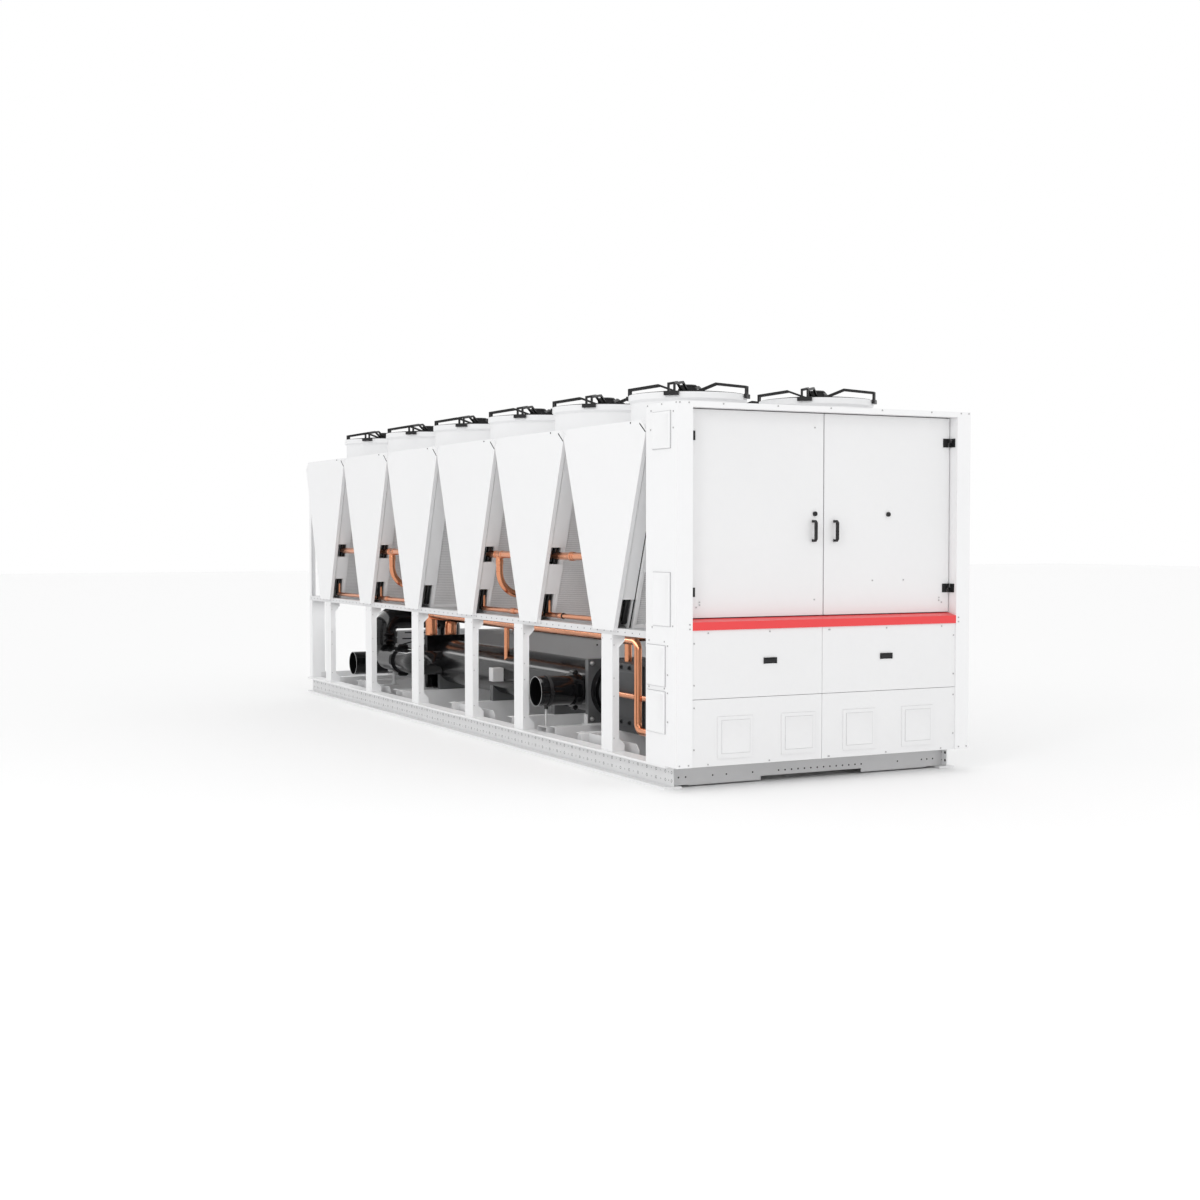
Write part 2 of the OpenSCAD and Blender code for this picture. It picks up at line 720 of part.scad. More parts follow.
// Four bent arms clip on the rim and hold the collar round the motor
clip_w = 100;
clip_t = 20;
clip_h = 28;
module fan_arm() {
    out = rim_r + seat;
    foot = rim_z - clip_h + 4;
    outline = [[out, foot], [out + arm_w, foot], [out + arm_w, rim_z + arm_rise],
               [arm_bend_r, rim_z + arm_peak], [motor_r, collar_z + collar_h],
               [motor_r, collar_z + collar_h - arm_w],
               [arm_bend_r - 4, rim_z + arm_peak - arm_w - 2], [out, rim_z + arm_rise - arm_w]];
    difference() {
        union() {
            for (s = [-1, 1]) run_y(s * (arm_gap + arm_w) / 2 - arm_w / 2, s * (arm_gap + arm_w) / 2 + arm_w / 2)
                polygon(outline);
            translate([out, -clip_w / 2, foot]) cube([clip_t, clip_w, clip_h]);
        }
        translate([0, 0, collar_z - arm_w]) cylinder(h = collar_h + 2 * arm_w, r = motor_r + collar_t + 2 * seat);
    }
}
module fan_supports() {
    color(black) at_fans() {
        for (a = [45 : 90 : 315]) rotate([0, 0, a]) fan_arm();
        translate([0, 0, collar_z]) difference() {
            cylinder(h = collar_h, r = motor_r + collar_t + seat);
            translate([0, 0, -1]) cylinder(h = collar_h + 2, r = motor_r + seat);
        }
    }
}

blade_r = ring_r - tip_gap;
blade_steps = 8;
blade_z = (hub_z + hub_top) / 2;
// Edge points of a blade's plan, from root to tip
function blade_radius(k) = hub_r - 8 + (blade_r + 12 - hub_r + 8) * k / blade_steps;
function blade_turn(k) = blade_sweep * pow(k / blade_steps, 2);
function blade_chord(k) = blade_root + (blade_tip - blade_root) * k / blade_steps;
function blade_point(k, s) = let (a = blade_turn(k), r = blade_radius(k), c = s * blade_chord(k) / 2)
    [r * cos(a) - c * sin(a), r * sin(a) + c * cos(a)];
module blade() {
    intersection() {
        linear_extrude(2 * hub_h, center = true) polygon(concat(
            [for (k = [0 : blade_steps]) blade_point(k, -1)],
            [for (k = [blade_steps : -1 : 0]) blade_point(k, 1)]));
        cylinder(h = 2 * hub_h, r = blade_r, center = true);
        rotate([blade_pitch, 0, 0]) translate([0, 0, -blade_camber]) rotate([0, 90, 0]) difference() {
            cylinder(h = 2 * ring_r, r = blade_camber + blade_t / 2);
            translate([0, 0, -1]) cylinder(h = 2 * ring_r + 2, r = blade_camber - blade_t / 2);
        }
    }
}
module fan_rotor(i, s) {
    color(black) translate([fan_x(i), s * fan_y, 0]) difference() {
        union() {
            translate([0, 0, hub_z]) cylinder(h = hub_h, r = hub_r);
            translate([0, 0, blade_z]) for (k = [0 : blade_n - 1]) rotate([0, 0, k * 360 / blade_n]) blade();
        }
        translate([0, 0, hub_z + 10 - motor_gap]) cylinder(h = hub_h, r = shaft_r + seat);
    }
}

// Cabinet: outer skins folded round the corner posts, back, roof, sill and screwed panels
module cabinet_sides() {
    return_x = door_face_x - door_t;
    color(white) both_sides() translate([0, 0, rail_h]) linear_extrude(cabinet_top - rail_h) polygon([
        [x_cab, -side_y], [x_front, -side_y], [x_front, -corner_y], [return_x, -corner_y],
        [return_x, -corner_y - sheet], [x_front - sheet, -corner_y - sheet],
        [x_front - sheet, -side_y + sheet], [x_cab, -side_y + sheet]]);
}
module cabinet_back() {
    color(white) translate([x_cab, -side_y + sheet, rail_h])
        cube([sheet, 2 * (side_y - sheet), cabinet_top - rail_h]);
}
// Floor between the sides, narrower where the corner posts turn in
module cabinet_floor() {
    wide = side_y - sheet - seat;
    narrow = corner_y - seat;
    x0 = x_cab + sheet + seat;
    x1 = door_face_x - door_t - seat;
    x2 = lower_face_x - lower_t - seat;
    color(white) translate([0, 0, rail_h]) linear_extrude(sheet) polygon([
        [x0, -wide], [x1, -wide], [x1, -narrow], [x2, -narrow],
        [x2, narrow], [x1, narrow], [x1, wide], [x0, wide]]);
}
module cabinet_roof() {
    color(white) difference() {
        translate([x_cab, -side_y, cabinet_top]) cube([cabinet_d, unit_w, roof_h]);
        translate([x_cab + column_w, -side_y + corner_w, cabinet_top - 1])
            cube([cabinet_d - column_w - recess - door_t, unit_w - 2 * corner_w, roof_h - sheet + 1]);
    }
}
module cabinet_sill() {
    back = door_face_x - door_t;
    color(red) run_y(-corner_y, corner_y) polygon([
        [back, sill_z], [x_front, sill_z], [x_front, sill_z + sill_h],
        [door_face_x, sill_z + sill_back_h], [back, sill_z + sill_back_h]]);
}

module lower_panel(y0, y1, z0, z1) {
    translate([lower_face_x - lower_t, y0, z0]) cube([lower_t, y1 - y0, z1 - z0]);
}
module lower_panels() {
    rows = [[rail_h, lower_split_z - seam / 2], [lower_split_z + seam / 2, sill_z]];
    color(white) for (r = rows) {
        lower_panel(-corner_y, lower_split_y - seam / 2, r[0], r[1]);
        lower_panel(lower_split_y + seam / 2, corner_y, r[0], r[1]);
    }
}
module cable_entry_covers() {
    color(white) for (y = [-entry_y2, -entry_y1, entry_y1, entry_y2])
        translate([lower_face_x, y - entry_w / 2, entry_z]) cube([entry_t, entry_w, entry_h]);
}
module panel_pulls() {
    color(black) for (y = [-pull_y, pull_y]) difference() {
        translate([lower_face_x, y - pull_w / 2, pull_z - pull_h / 2]) cube([pull_t, pull_w, pull_h]);
        translate([lower_face_x + 2, y - pull_w / 2 + 6, pull_z - pull_h / 2 - 1]) cube([pull_t, pull_w - 12, pull_h / 2]);
    }
}

hinge_zs = [hinge_z1, hinge_z2];
knuckle_h = hinge_h / 2 - seat;
// Fixed hinge halves: a leaf on the corner post and the lower knuckle
module frame_hinges() {
    color(black) both_sides() for (z = hinge_zs) translate([0, 0, z - hinge_h / 2]) union() {
        translate([pin_x, -pin_y, 0]) cylinder(h = knuckle_h, r = knuckle_r);
        translate([pin_x, -corner_y, 0]) cube([knuckle_r + 3, knuckle_r + leaf_t, knuckle_h]);
        translate([pin_x + knuckle_r + 2, -corner_y, 0]) cube([leaf_l, leaf_t, hinge_h]);
    }
}

// Right-hand door and its fittings; the left ones mirror them
module door_leaf() {
    rim = 30;
    difference() {
        translate([door_face_x - door_t, door_split / 2, door_low_z])
            cube([door_t, door_out_y - door_split / 2, door_top_z - door_low_z]);
        translate([door_face_x - door_t - 1, door_split / 2 + rim, door_low_z + rim])
            cube([door_t - sheet + 1, door_out_y - door_split / 2 - 2 * rim, door_top_z - door_low_z - 2 * rim]);
    }
}
module door_fittings(lock_y) {
    for (z = hinge_zs) translate([0, 0, z - hinge_h / 2]) union() {
        translate([pin_x, pin_y, hinge_h / 2 + seat]) cylinder(h = knuckle_h, r = knuckle_r);
        translate([door_face_x, leaf_out_y - leaf_l, 0]) cube([leaf_t, leaf_l, hinge_h]);
        translate([door_face_x, leaf_out_y - leaf_t, hinge_h / 2 + seat])
            cube([knuckle_r, pin_y - leaf_out_y + leaf_t, knuckle_h]);
    }
    inner = handle_h / 2 - handle_t;
    translate([0, handle_y - handle_t / 2, handle_z]) run_y(0, handle_t) polygon([
        [door_face_x, -handle_h / 2], [door_face_x + handle_out - handle_t, -handle_h / 2],
        [door_face_x + handle_out, -handle_h / 2 + handle_t], [door_face_x + handle_out, handle_h / 2 - handle_t],
        [door_face_x + handle_out - handle_t, handle_h / 2], [door_face_x, handle_h / 2],
        [door_face_x, inner], [door_face_x + handle_out - handle_t, inner],
        [door_face_x + handle_out - handle_t, -inner], [door_face_x, -inner]]);
    bar_x(door_face_x, door_face_x + 12, lock_y, lock_z, lock_r);
}
module door_right() { color(white) door_leaf(); }
module door_left() { color(white) mirror([0, 1, 0]) door_leaf(); }
module door_right_fittings() { color(black) door_fittings(lock_right_y); }
module door_left_fittings() { color(black) mirror([0, 1, 0]) door_fittings(lock_left_y); }

// Shell and tube evaporator along the machine bay
module evaporator_shell() {
    color(black) bar_x(evap_x0, evap_x1, evap_y, evap_z, evap_r);
}
// Tube plate that stands on its pad
module tube_plate(x) {
    translate([x, evap_y - tube_plate_w / 2, plate_low])
        cube([tube_plate_t, tube_plate_w, evap_z + tube_plate_w / 2 - plate_low]);
}
module evaporator_ends() {
    color(mid_grey) {
        tube_plate(evap_x1);
        tube_plate(rear_head_x);
    }
}
// Front water head and rear refrigerant head
module evaporator_heads() {
    color(black) {
        bar_x(front_head_x, front_head_x + head_l, evap_y, evap_z, head_r);
        bar_x(rear_head_x - rear_head_l, rear_head_x, evap_y, evap_z, head_r);
    }
}
module head_cover() {
    x = front_head_x + head_l;
    color(dark_grey) bar_x(x, x + head_cover_t, evap_y, evap_z, head_cover_r);
}
// Saddles on the cross members that pass under the shell, and pads under the tube plates
foot_x = [for (x = cross_x) if (x > evap_x0 + tube_plate_t && x < evap_x1 - tube_plate_t) x];
module evaporator_feet() {
    color(light_grey) {
        for (x = foot_x) difference() {
            translate([x - foot_w / 2, evap_y - foot_half, cross_top])
                cube([foot_w, 2 * foot_half, evap_z - evap_r / 2 - cross_top]);
            bar_x(x - foot_w, x + foot_w, evap_y, evap_z, evap_r + seat);
        }
        for (x = [front_head_x - cross_w / 2, rear_head_x]) translate([x, evap_y - foot_half, cross_top])
            cube([cross_w / 2, 2 * foot_half, plate_foot]);
    }
}

// Water pipes: front connection, and the rear connection with its loop to the shell
front_coupling_y = front_pipe_y + front_coupling;
branch_y = evap_y - evap_r - branch_stub - bend_r;
// Hollow pipe end with a coupling groove near its mouth
module pipe_end(x, y0, y1, z) {
    translate([x, y0, z]) rotate([-90, 0, 0]) rotate_extrude() polygon([
        [pipe_r - pipe_t, 0], [pipe_r, 0], [pipe_r, groove_land], [pipe_r - groove_depth, groove_land],
        [pipe_r - groove_depth, groove_land + groove_w], [pipe_r, groove_land + groove_w],
        [pipe_r, y1 - y0], [0, y1 - y0], [0, pipe_mouth], [pipe_r - pipe_t, pipe_mouth]]);
}
module shell_branch(x, y0) {
    difference() {
        bar_y(x, y0, evap_y, evap_z, pipe_r);
        bar_x(x - 2 * pipe_r, x + 2 * pipe_r, evap_y, evap_z, evap_r + seat);
    }
}
module water_connections() {
    g = pipe_joint / 2;
    color(black) {
        pipe_end(front_pipe_x, front_pipe_y, front_coupling_y - g, evap_z);
        pipe_end(rear_pipe_x, rear_pipe_y, drop_y - bend_r - g, rear_pipe_z);
    }
}
module water_pipes() {
    g = pipe_joint / 2;
    color(black) {
        shell_branch(front_pipe_x, front_coupling_y + g);
        bend_xy([branch_x, branch_y, evap_z], -1, 1, pipe_r, bend_r);
        shell_branch(branch_x, branch_y + bend_r + g);
        bar_x(riser_x + bend_r + g, branch_x - bend_r - g, branch_y, evap_z, pipe_r);
        bend_xz([riser_x, branch_y, evap_z], 1, 1, pipe_r, bend_r);
        bar_z(riser_x, branch_y, evap_z + bend_r + g, loop_z - bend_r - g, pipe_r);
        bend_yz([riser_x, branch_y, loop_z], 1, -1, pipe_r, bend_r);
        bar_y(riser_x, branch_y + bend_r + g, drop_y - bend_r - g, loop_z, pipe_r);
        bend_yz([riser_x, drop_y, loop_z], -1, -1, pipe_r, bend_r);
        bar_z(riser_x, drop_y, rear_pipe_z + bend_r + g, loop_z - bend_r - g, pipe_r);
        bend_xz([riser_x, drop_y, rear_pipe_z], -1, 1, pipe_r, bend_r);
        bar_x(rear_pipe_x + bend_r + g, riser_x - bend_r - g, drop_y, rear_pipe_z, pipe_r);
        bend_xy([rear_pipe_x, drop_y, rear_pipe_z], 1, -1, pipe_r, bend_r);
    }
}
// Grooved coupling with two bolt lugs
module coupling() {
    out = pipe_r + coupling_t;
    difference() {
        union() {
            cylinder(h = coupling_w, r = out, center = true);
            for (s = [-1, 1]) bar_x(-lug_l / 2, lug_l / 2, s * out, 0, lug_r);
        }
        cylinder(h = coupling_w + 2, r = pipe_r + seat, center = true);
    }
}
module pipe_couplings() {
    half = coupling_w / 2 + 2;
    color(black) {
        translate([front_pipe_x, front_coupling_y, evap_z]) rotate([90, 0, 0]) coupling();
        translate([riser_x + run_coupling, branch_y, evap_z]) rotate([0, 90, 0]) rotate([0, 0, 90]) coupling();
        for (z = [evap_z + bend_r + half, loop_z - bend_r - half])
            translate([riser_x, branch_y, z]) rotate([0, 0, 90]) coupling();
        translate([rear_pipe_x, drop_y - bend_r - half, rear_pipe_z]) rotate([90, 0, 0]) coupling();
    }
}
// Clamp round the front connection, with two ears and a boss for the rod
clamp_y = front_pipe_y + clamp_in;
clamp_r = pipe_r + clamp_t;
boss_low = evap_z - clamp_r - boss_h;
module pipe_clamp() {
    color(black) difference() {
        union() {
            bar_y(front_pipe_x, clamp_y - clamp_w / 2, clamp_y + clamp_w / 2, evap_z, clamp_r);
            translate([front_pipe_x - clamp_r - ear_l, clamp_y - clamp_w / 2, evap_z - ear_h / 2])
                cube([2 * (clamp_r + ear_l), clamp_w, ear_h]);
            bar_z(front_pipe_x, clamp_y, boss_low, boss_low + boss_h + clamp_t, rod_r + clamp_t);
        }
        bar_y(front_pipe_x, clamp_y - 2 * clamp_w, clamp_y + 2 * clamp_w, evap_z, pipe_r + seat);
    }
}
// Rod and folded rail bracket under the clamp
module pipe_support() {
    depth = clamp_y + rail_in_y + bracket_lap + clamp_w;
    color(light_grey) {
        bar_z(front_pipe_x, clamp_y, rail_h + bracket_h + seat, boss_low - seat, rod_r);
        translate([front_pipe_x - bracket_back, -rail_in_y - bracket_lap, rail_h]) difference() {
            cube([bracket_w, depth, bracket_h]);
            translate([sheet, -1, -1]) cube([bracket_w - 2 * sheet, depth + 2, bracket_h - sheet + 1]);
        }
    }
}

module compressor(x, y) {
    r = comp_edge;
    h = comp_top - cross_top;
    translate([x, y, cross_top]) union() {
        translate([0, r, 0]) cube([comp_l, comp_w - 2 * r, h]);
        translate([0, 0, 0]) cube([comp_l, comp_w, h - r]);
        for (s = [r, comp_w - r]) translate([0, s, h - r]) rotate([0, 90, 0]) cylinder(h = comp_l, r = r);
    }
}
module compressors() {
    color(dark_grey) {
        compressor(comp_x0, comp_y0);
        compressor(comp2_x0, comp2_y0);
    }
}
// Housing in the rear bay, seen past the water loop
module rear_service_box() {
    color(mid_grey) translate([service_x - service_d, service_y0, cross_top])
        cube([service_d, service_w, service_top - cross_top]);
}
module compressor_enclosure() {
    color(light_grey) translate([encl_x0, encl_y0, cross_top]) cube([encl_l, encl_w, encl_top - cross_top]);
}

// Suction pipes and their header, the gas lines at the coil ends and the pipes before the compressor
main_x1 = comp_x0 + main_in;
gas_y = -frame_y + header_l / 2;
gas_bend = 2.2 * gas_r;
suction_bend = 2 * suction_r;
// Pipe that stands on the rear head of the evaporator
module riser(y, z1) {
    difference() {
        bar_z(suction_x, y, evap_z, z1, suction_r);
        bar_x(suction_x - 2 * suction_r, suction_x + 2 * suction_r, evap_y, evap_z, head_r + seat);
    }
}
// Line past two openings, with a tee and a branch that turns in and drops to the header
module gas_line(first, tee) {
    start_x = module_x(first) + coil_face(gas_z) - coil_width_x / 2;
    end_x = module_x(first + 2) - coil_face(gas_z);
    tee_x = x_rear + tee * module_pitch + tee_shift;
    difference() {
        bar_x(start_x, end_x, gas_y, gas_z, gas_r);
        translate([module_x(first + 2), 0, 0]) mirror([1, 0, 0]) run_y(gas_y - 2 * gas_r, gas_y + 2 * gas_r)
            leaning(gas_z - 2 * gas_r, gas_z + 2 * gas_r, cover_t + seat, coil_width_x);
    }
    difference() {
        bar_z(tee_x, gas_y, down_z + branch_bend + seat, gas_z, gas_r);
        bar_x(tee_x - 2 * gas_r, tee_x + 2 * gas_r, gas_y, gas_z, gas_r + seat);
    }
    bend_yz([tee_x, gas_y, down_z], 1, 1, gas_r, branch_bend);
    bar_y(tee_x, gas_y + branch_bend + seat, header_y - gas_bend - seat, down_z, gas_r);
    bend_yz([tee_x, header_y, down_z], -1, -1, gas_r, gas_bend);
    difference() {
        bar_z(tee_x, header_y, main_z, down_z - gas_bend - seat, gas_r);
        bar_x(tee_x - 2 * gas_r, tee_x + 2 * gas_r, header_y, main_z, main_r + seat);
    }
}
module gas_pipes() {
    color(copper) {
        bar_x(suction_x - suction_r, main_x1 + main_r, header_y, main_z, main_r);
        difference() {
            riser(header_y, main_z);
            bar_x(suction_x - 2 * suction_r, suction_x + 2 * suction_r, header_y, main_z, main_r + seat);
        }
        riser(suction_in_y, main_z - suction_bend - seat);
        bend_yz([suction_x, suction_in_y, main_z], 1, -1, suction_r, suction_bend);
        bar_y(suction_x, suction_in_y + suction_bend + seat, suction_land_y - suction_bend - seat, main_z, suction_r);
        bend_yz([suction_x, suction_land_y, main_z], -1, -1, suction_r, suction_bend);
        bar_z(suction_x, suction_land_y, comp_top, main_z - suction_bend - seat, suction_r);
        difference() {
            bar_z(main_x1, header_y, comp_top, main_z, hot_r);
            bar_x(main_x1 - 2 * hot_r, main_x1 + 2 * hot_r, header_y, main_z, main_r + seat);
        }
        difference() {
            bar_z(tap_x, header_y, evap_z, main_z, tap_r);
            bar_x(tap_x - 2 * tap_r, tap_x + 2 * tap_r, header_y, main_z, main_r + seat);
            bar_x(tap_x - 2 * tap_r, tap_x + 2 * tap_r, evap_y, evap_z, evap_r + seat);
        }
        gas_line(0, 2);
        gas_line(3, 4);
    }
}
// Bent pipe on the compressor, and the plain one beside it
module compressor_pipes() {
    b = 2.2 * hot_r;
    plain_b = 2 * plain_r;
    back = x_cab - seat;
    land_x = comp_x0 + hot_in;
    plain_x = comp_x0 + plain_in;
    color(copper) {
        bar_z(land_x, hot_land_y, comp_top, hot_top - b - seat, hot_r);
        bend_yz([land_x, hot_land_y, hot_top], -1, -1, hot_r, b);
        bar_y(land_x, hot_y + b + seat, hot_land_y - b - seat, hot_top, hot_r);
        bend_xy([land_x, hot_y, hot_top], 1, 1, hot_r, b);
        bar_x(land_x + b + seat, hot_x - b - seat, hot_y, hot_top, hot_r);
        bend_xz([hot_x, hot_y, hot_top], -1, -1, hot_r, b);
        bar_z(hot_x, hot_y, hot_low + b + seat, hot_top - b - seat, hot_r);
        bend_xz([hot_x, hot_y, hot_low], 1, 1, hot_r, b);
        bar_x(hot_x + b + seat, back, hot_y, hot_low, hot_r);
        bar_y(plain_x, plain_y + plain_b + seat, comp_y0 - seat, plain_z, plain_r);
        bend_xy([plain_x, plain_y, plain_z], 1, 1, plain_r, plain_b);
        bar_x(plain_x + plain_b + seat, back, plain_y, plain_z, plain_r);
    }
}
// Liquid lines over the middle rail, with a riser to each header cover
module liquid_line(first) {
    reach = coil_face(cover_foot_z) - coil_width_x / 2;
    stubs = [module_x(first) + reach, module_x(first + 1) - reach, module_x(first + 1) + reach, module_x(first + 2) - reach];
    bar_x(stubs[0] - stub_r, stubs[3] + stub_r, gas_y, liquid_z, liquid_r);
    for (x = stubs) difference() {
        bar_z(x, gas_y, liquid_z, cover_foot_z, stub_r);
        bar_x(x - 2 * stub_r, x + 2 * stub_r, gas_y, liquid_z, liquid_r + seat);
    }
}
module liquid_pipes() {
    color(copper) {
        liquid_line(0);
        liquid_line(3);
    }
}
module junction_box() {
    y = evap_y - evap_r;
    color(light_grey) translate([box_x, y - box_w, evap_z - box_h / 2]) cube([box_w, box_w - seat, box_h]);
}

base_rails();
base_cross_members();
front_end_plate();
posts();
rear_columns();
mid_rails();
coil_beams();
condenser_coils();
header_covers();
side_panels();
fan_deck();
near_fan_rings();
far_fan_rings();
fan_motors();
fan_supports();
cabinet_sides();
cabinet_back();
cabinet_roof();
cabinet_sill();
lower_panels();
cable_entry_covers();
panel_pulls();
frame_hinges();
door_left();
door_left_fittings();
door_right();
door_right_fittings();
evaporator_shell();
evaporator_ends();
evaporator_heads();
head_cover();
evaporator_feet();
water_pipes();
water_connections();
pipe_couplings();
compressors();
compressor_enclosure();
rear_service_box();
gas_pipes();
liquid_pipes();
junction_box();
cabinet_floor();
pipe_clamp();
pipe_support();
compressor_pipes();
fan_rotor(0, -1);  // fan_rotor_1
fan_rotor(1, -1);  // fan_rotor_2
fan_rotor(2, -1);  // fan_rotor_3
fan_rotor(3, -1);  // fan_rotor_4
fan_rotor(4, -1);  // fan_rotor_5
fan_rotor(5, -1);  // fan_rotor_6
fan_rotor(0, 1);  // fan_rotor_7
fan_rotor(1, 1);  // fan_rotor_8
fan_rotor(2, 1);  // fan_rotor_9
fan_rotor(3, 1);  // fan_rotor_10
fan_rotor(4, 1);  // fan_rotor_11
fan_rotor(5, 1);  // fan_rotor_12
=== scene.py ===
"""Air cooled water chiller: finishes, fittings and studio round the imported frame, in metres."""
import logging
import math
from dataclasses import dataclass, field
from enum import Enum
from typing import Any, Callable, Iterable, Sequence

import bpy
from mathutils import Euler, Matrix, Vector


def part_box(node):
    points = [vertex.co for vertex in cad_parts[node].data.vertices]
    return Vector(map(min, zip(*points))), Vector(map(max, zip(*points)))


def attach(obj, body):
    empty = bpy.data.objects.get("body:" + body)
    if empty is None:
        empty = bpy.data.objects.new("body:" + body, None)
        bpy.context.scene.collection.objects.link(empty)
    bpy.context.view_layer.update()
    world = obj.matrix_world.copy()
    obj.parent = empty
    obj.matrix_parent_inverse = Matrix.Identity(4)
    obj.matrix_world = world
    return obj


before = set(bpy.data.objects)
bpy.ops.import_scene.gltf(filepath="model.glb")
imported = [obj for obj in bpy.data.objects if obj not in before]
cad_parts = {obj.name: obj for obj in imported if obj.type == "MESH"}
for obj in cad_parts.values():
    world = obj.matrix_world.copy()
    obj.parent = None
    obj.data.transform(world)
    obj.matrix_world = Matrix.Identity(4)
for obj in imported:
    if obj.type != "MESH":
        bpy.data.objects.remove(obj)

LOG = logging.getLogger("chiller")
Point = Sequence[float]
Step = tuple[float, float]
FaceTest = Callable[[Vector, Vector], bool]
UP = (0.0, 0.0, 1.0)
AHEAD = (1.0, 0.0, 0.0)
NEAR = (0.0, -1.0, 0.0)
MODULES = 6
SIDES = (-1.0, 1.0)
NOISE_ROUGHNESS = 0.55
SAME_WAY = 0.9
SHARP_EDGE = math.radians(35)
SMOOTH_EDGE = math.radians(38)


# Shared effects of the finishes

class Effect(Enum):
    """Shader node groups that several finishes place with their own values."""

    TONE = "tone_drift"
    PEEL = "orange_peel"
    DUST = "settled_dust"
    STREAK = "drawn_streaks"


class Graph:
    """Node tree with short calls that add nodes and join them."""

    def __init__(self, tree: bpy.types.NodeTree) -> None:
        """Keeps the tree that the nodes go into."""
        self.tree = tree

    def add(self, kind: str, inputs: dict[Any, Any] | None = None, **settings: Any) -> bpy.types.Node:
        """Adds one node.

        Args:
            kind: Blender's name of the node type.
            inputs: value or socket for each input, by name or number.
            settings: attributes of the node itself.

        Returns:
            The new node.
        """
        node = self.tree.nodes.new(kind)
        for name, value in settings.items():
            setattr(node, name, value)
        for name, value in (inputs or {}).items():
            if isinstance(value, bpy.types.NodeSocket):
                self.tree.links.new(value, node.inputs[name])
            else:
                node.inputs[name].default_value = value
        return node

    def place(self) -> bpy.types.NodeSocket:
        """Returns the object coordinates, which are the unit's own frame."""
        return self.add("ShaderNodeTexCoord").outputs["Object"]

    def noise(self, scale: Any, detail: float, vector: Any = None) -> bpy.types.NodeSocket:
        """Adds a noise texture.

        Args:
            scale: number or socket for its scale per metre.
            detail: octaves of the noise.
            vector: coordinates, or the object's own.

        Returns:
            The noise value, about 0.5 on average.
        """
        inputs = {"Vector": vector or self.place(), "Scale": scale, "Detail": detail,
                  "Roughness": NOISE_ROUGHNESS}
        return self.add("ShaderNodeTexNoise", inputs).outputs["Fac"]

    def maths(self, operation: str, first: Any, second: Any) -> bpy.types.NodeSocket:
        """Returns the result of one sum of two numbers or sockets."""
        return self.add("ShaderNodeMath", {0: first, 1: second}, operation=operation).outputs[0]

    def spread(self, value: Any, low: Any, high: Any, to_low: Any, to_high: Any) -> bpy.types.NodeSocket:
        """Returns a value mapped from one range to another and clamped to it."""
        inputs = {"Value": value, 1: low, 2: high, 3: to_low, 4: to_high}
        return self.add("ShaderNodeMapRange", inputs).outputs["Result"]

    def mix(self, amount: Any, first: Any, second: Any, blend: str = "MIX") -> bpy.types.NodeSocket:
        """Returns two colours mixed by an amount."""
        node = self.add("ShaderNodeMix", {0: amount, 6: first, 7: second}, data_type="RGBA", blend_type=blend)
        return node.outputs[2]


SocketPlan = dict[str, tuple[str, Any]]


def effect_group(effect: Effect, takes: SocketPlan, gives: dict[str, str]) -> tuple[Graph, Any, Any]:
    """Starts a shader node group with named sockets.

    Args:
        effect: which effect the group holds.
        takes: type and default of each input.
        gives: type of each output.

    Returns:
        Its graph, its input sockets and its output node.
    """
    tree = bpy.data.node_groups.new(effect.value, "ShaderNodeTree")
    for name, (kind, value) in takes.items():
        socket = tree.interface.new_socket(name, in_out="INPUT", socket_type=kind)
        socket.default_value = value
    for name, kind in gives.items():
        tree.interface.new_socket(name, in_out="OUTPUT", socket_type=kind)
    graph = Graph(tree)
    return graph, graph.add("NodeGroupInput").outputs, graph.add("NodeGroupOutput")


NUMBER = "NodeSocketFloat"
COLOUR = "NodeSocketColor"


def make_tone_group() -> None:
    """Builds the slow drift of tone and shine over large sheets."""
    fine_times = 14.0
    wide_share = 0.7
    reach = (0.3, 0.7)
    takes = {"Colour": (COLOUR, (1, 1, 1, 1)), "Amount": (NUMBER, 0.05), "Scale": (NUMBER, 1.5),
             "Roughness": (NUMBER, 0.4)}
    graph, given, out = effect_group(Effect.TONE, takes, {"Colour": COLOUR, "Roughness": NUMBER})
    fine_scale = graph.maths("MULTIPLY", given["Scale"], fine_times)
    wide = graph.maths("MULTIPLY", graph.noise(given["Scale"], detail=3.0), wide_share)
    fine = graph.maths("MULTIPLY", graph.noise(fine_scale, detail=4.0), 1.0 - wide_share)
    swing = graph.spread(graph.maths("ADD", wide, fine), *reach, -1.0, 1.0)
    change = graph.maths("MULTIPLY", swing, given["Amount"])
    shade = graph.maths("ADD", 1.0, change)
    tinted = graph.add("ShaderNodeVectorMath", {0: given["Colour"], "Scale": shade}, operation="SCALE")
    rough = graph.maths("ADD", given["Roughness"], change)
    graph.tree.links.new(tinted.outputs[0], out.inputs["Colour"])
    graph.tree.links.new(rough, out.inputs["Roughness"])


def make_peel_group() -> None:
    """Builds the fine ripple of sprayed paint and moulded skins."""
    grain_share = 0.25
    takes = {"Scale": (NUMBER, 250.0), "Wave": (NUMBER, 12.0)}
    graph, given, out = effect_group(Effect.PEEL, takes, {"Height": NUMBER})
    grain = graph.noise(given["Scale"], detail=2.0)
    wave = graph.noise(given["Wave"], detail=1.0)
    ripple = graph.maths("ADD", graph.maths("MULTIPLY", grain, grain_share), wave)
    graph.tree.links.new(ripple, out.inputs["Height"])


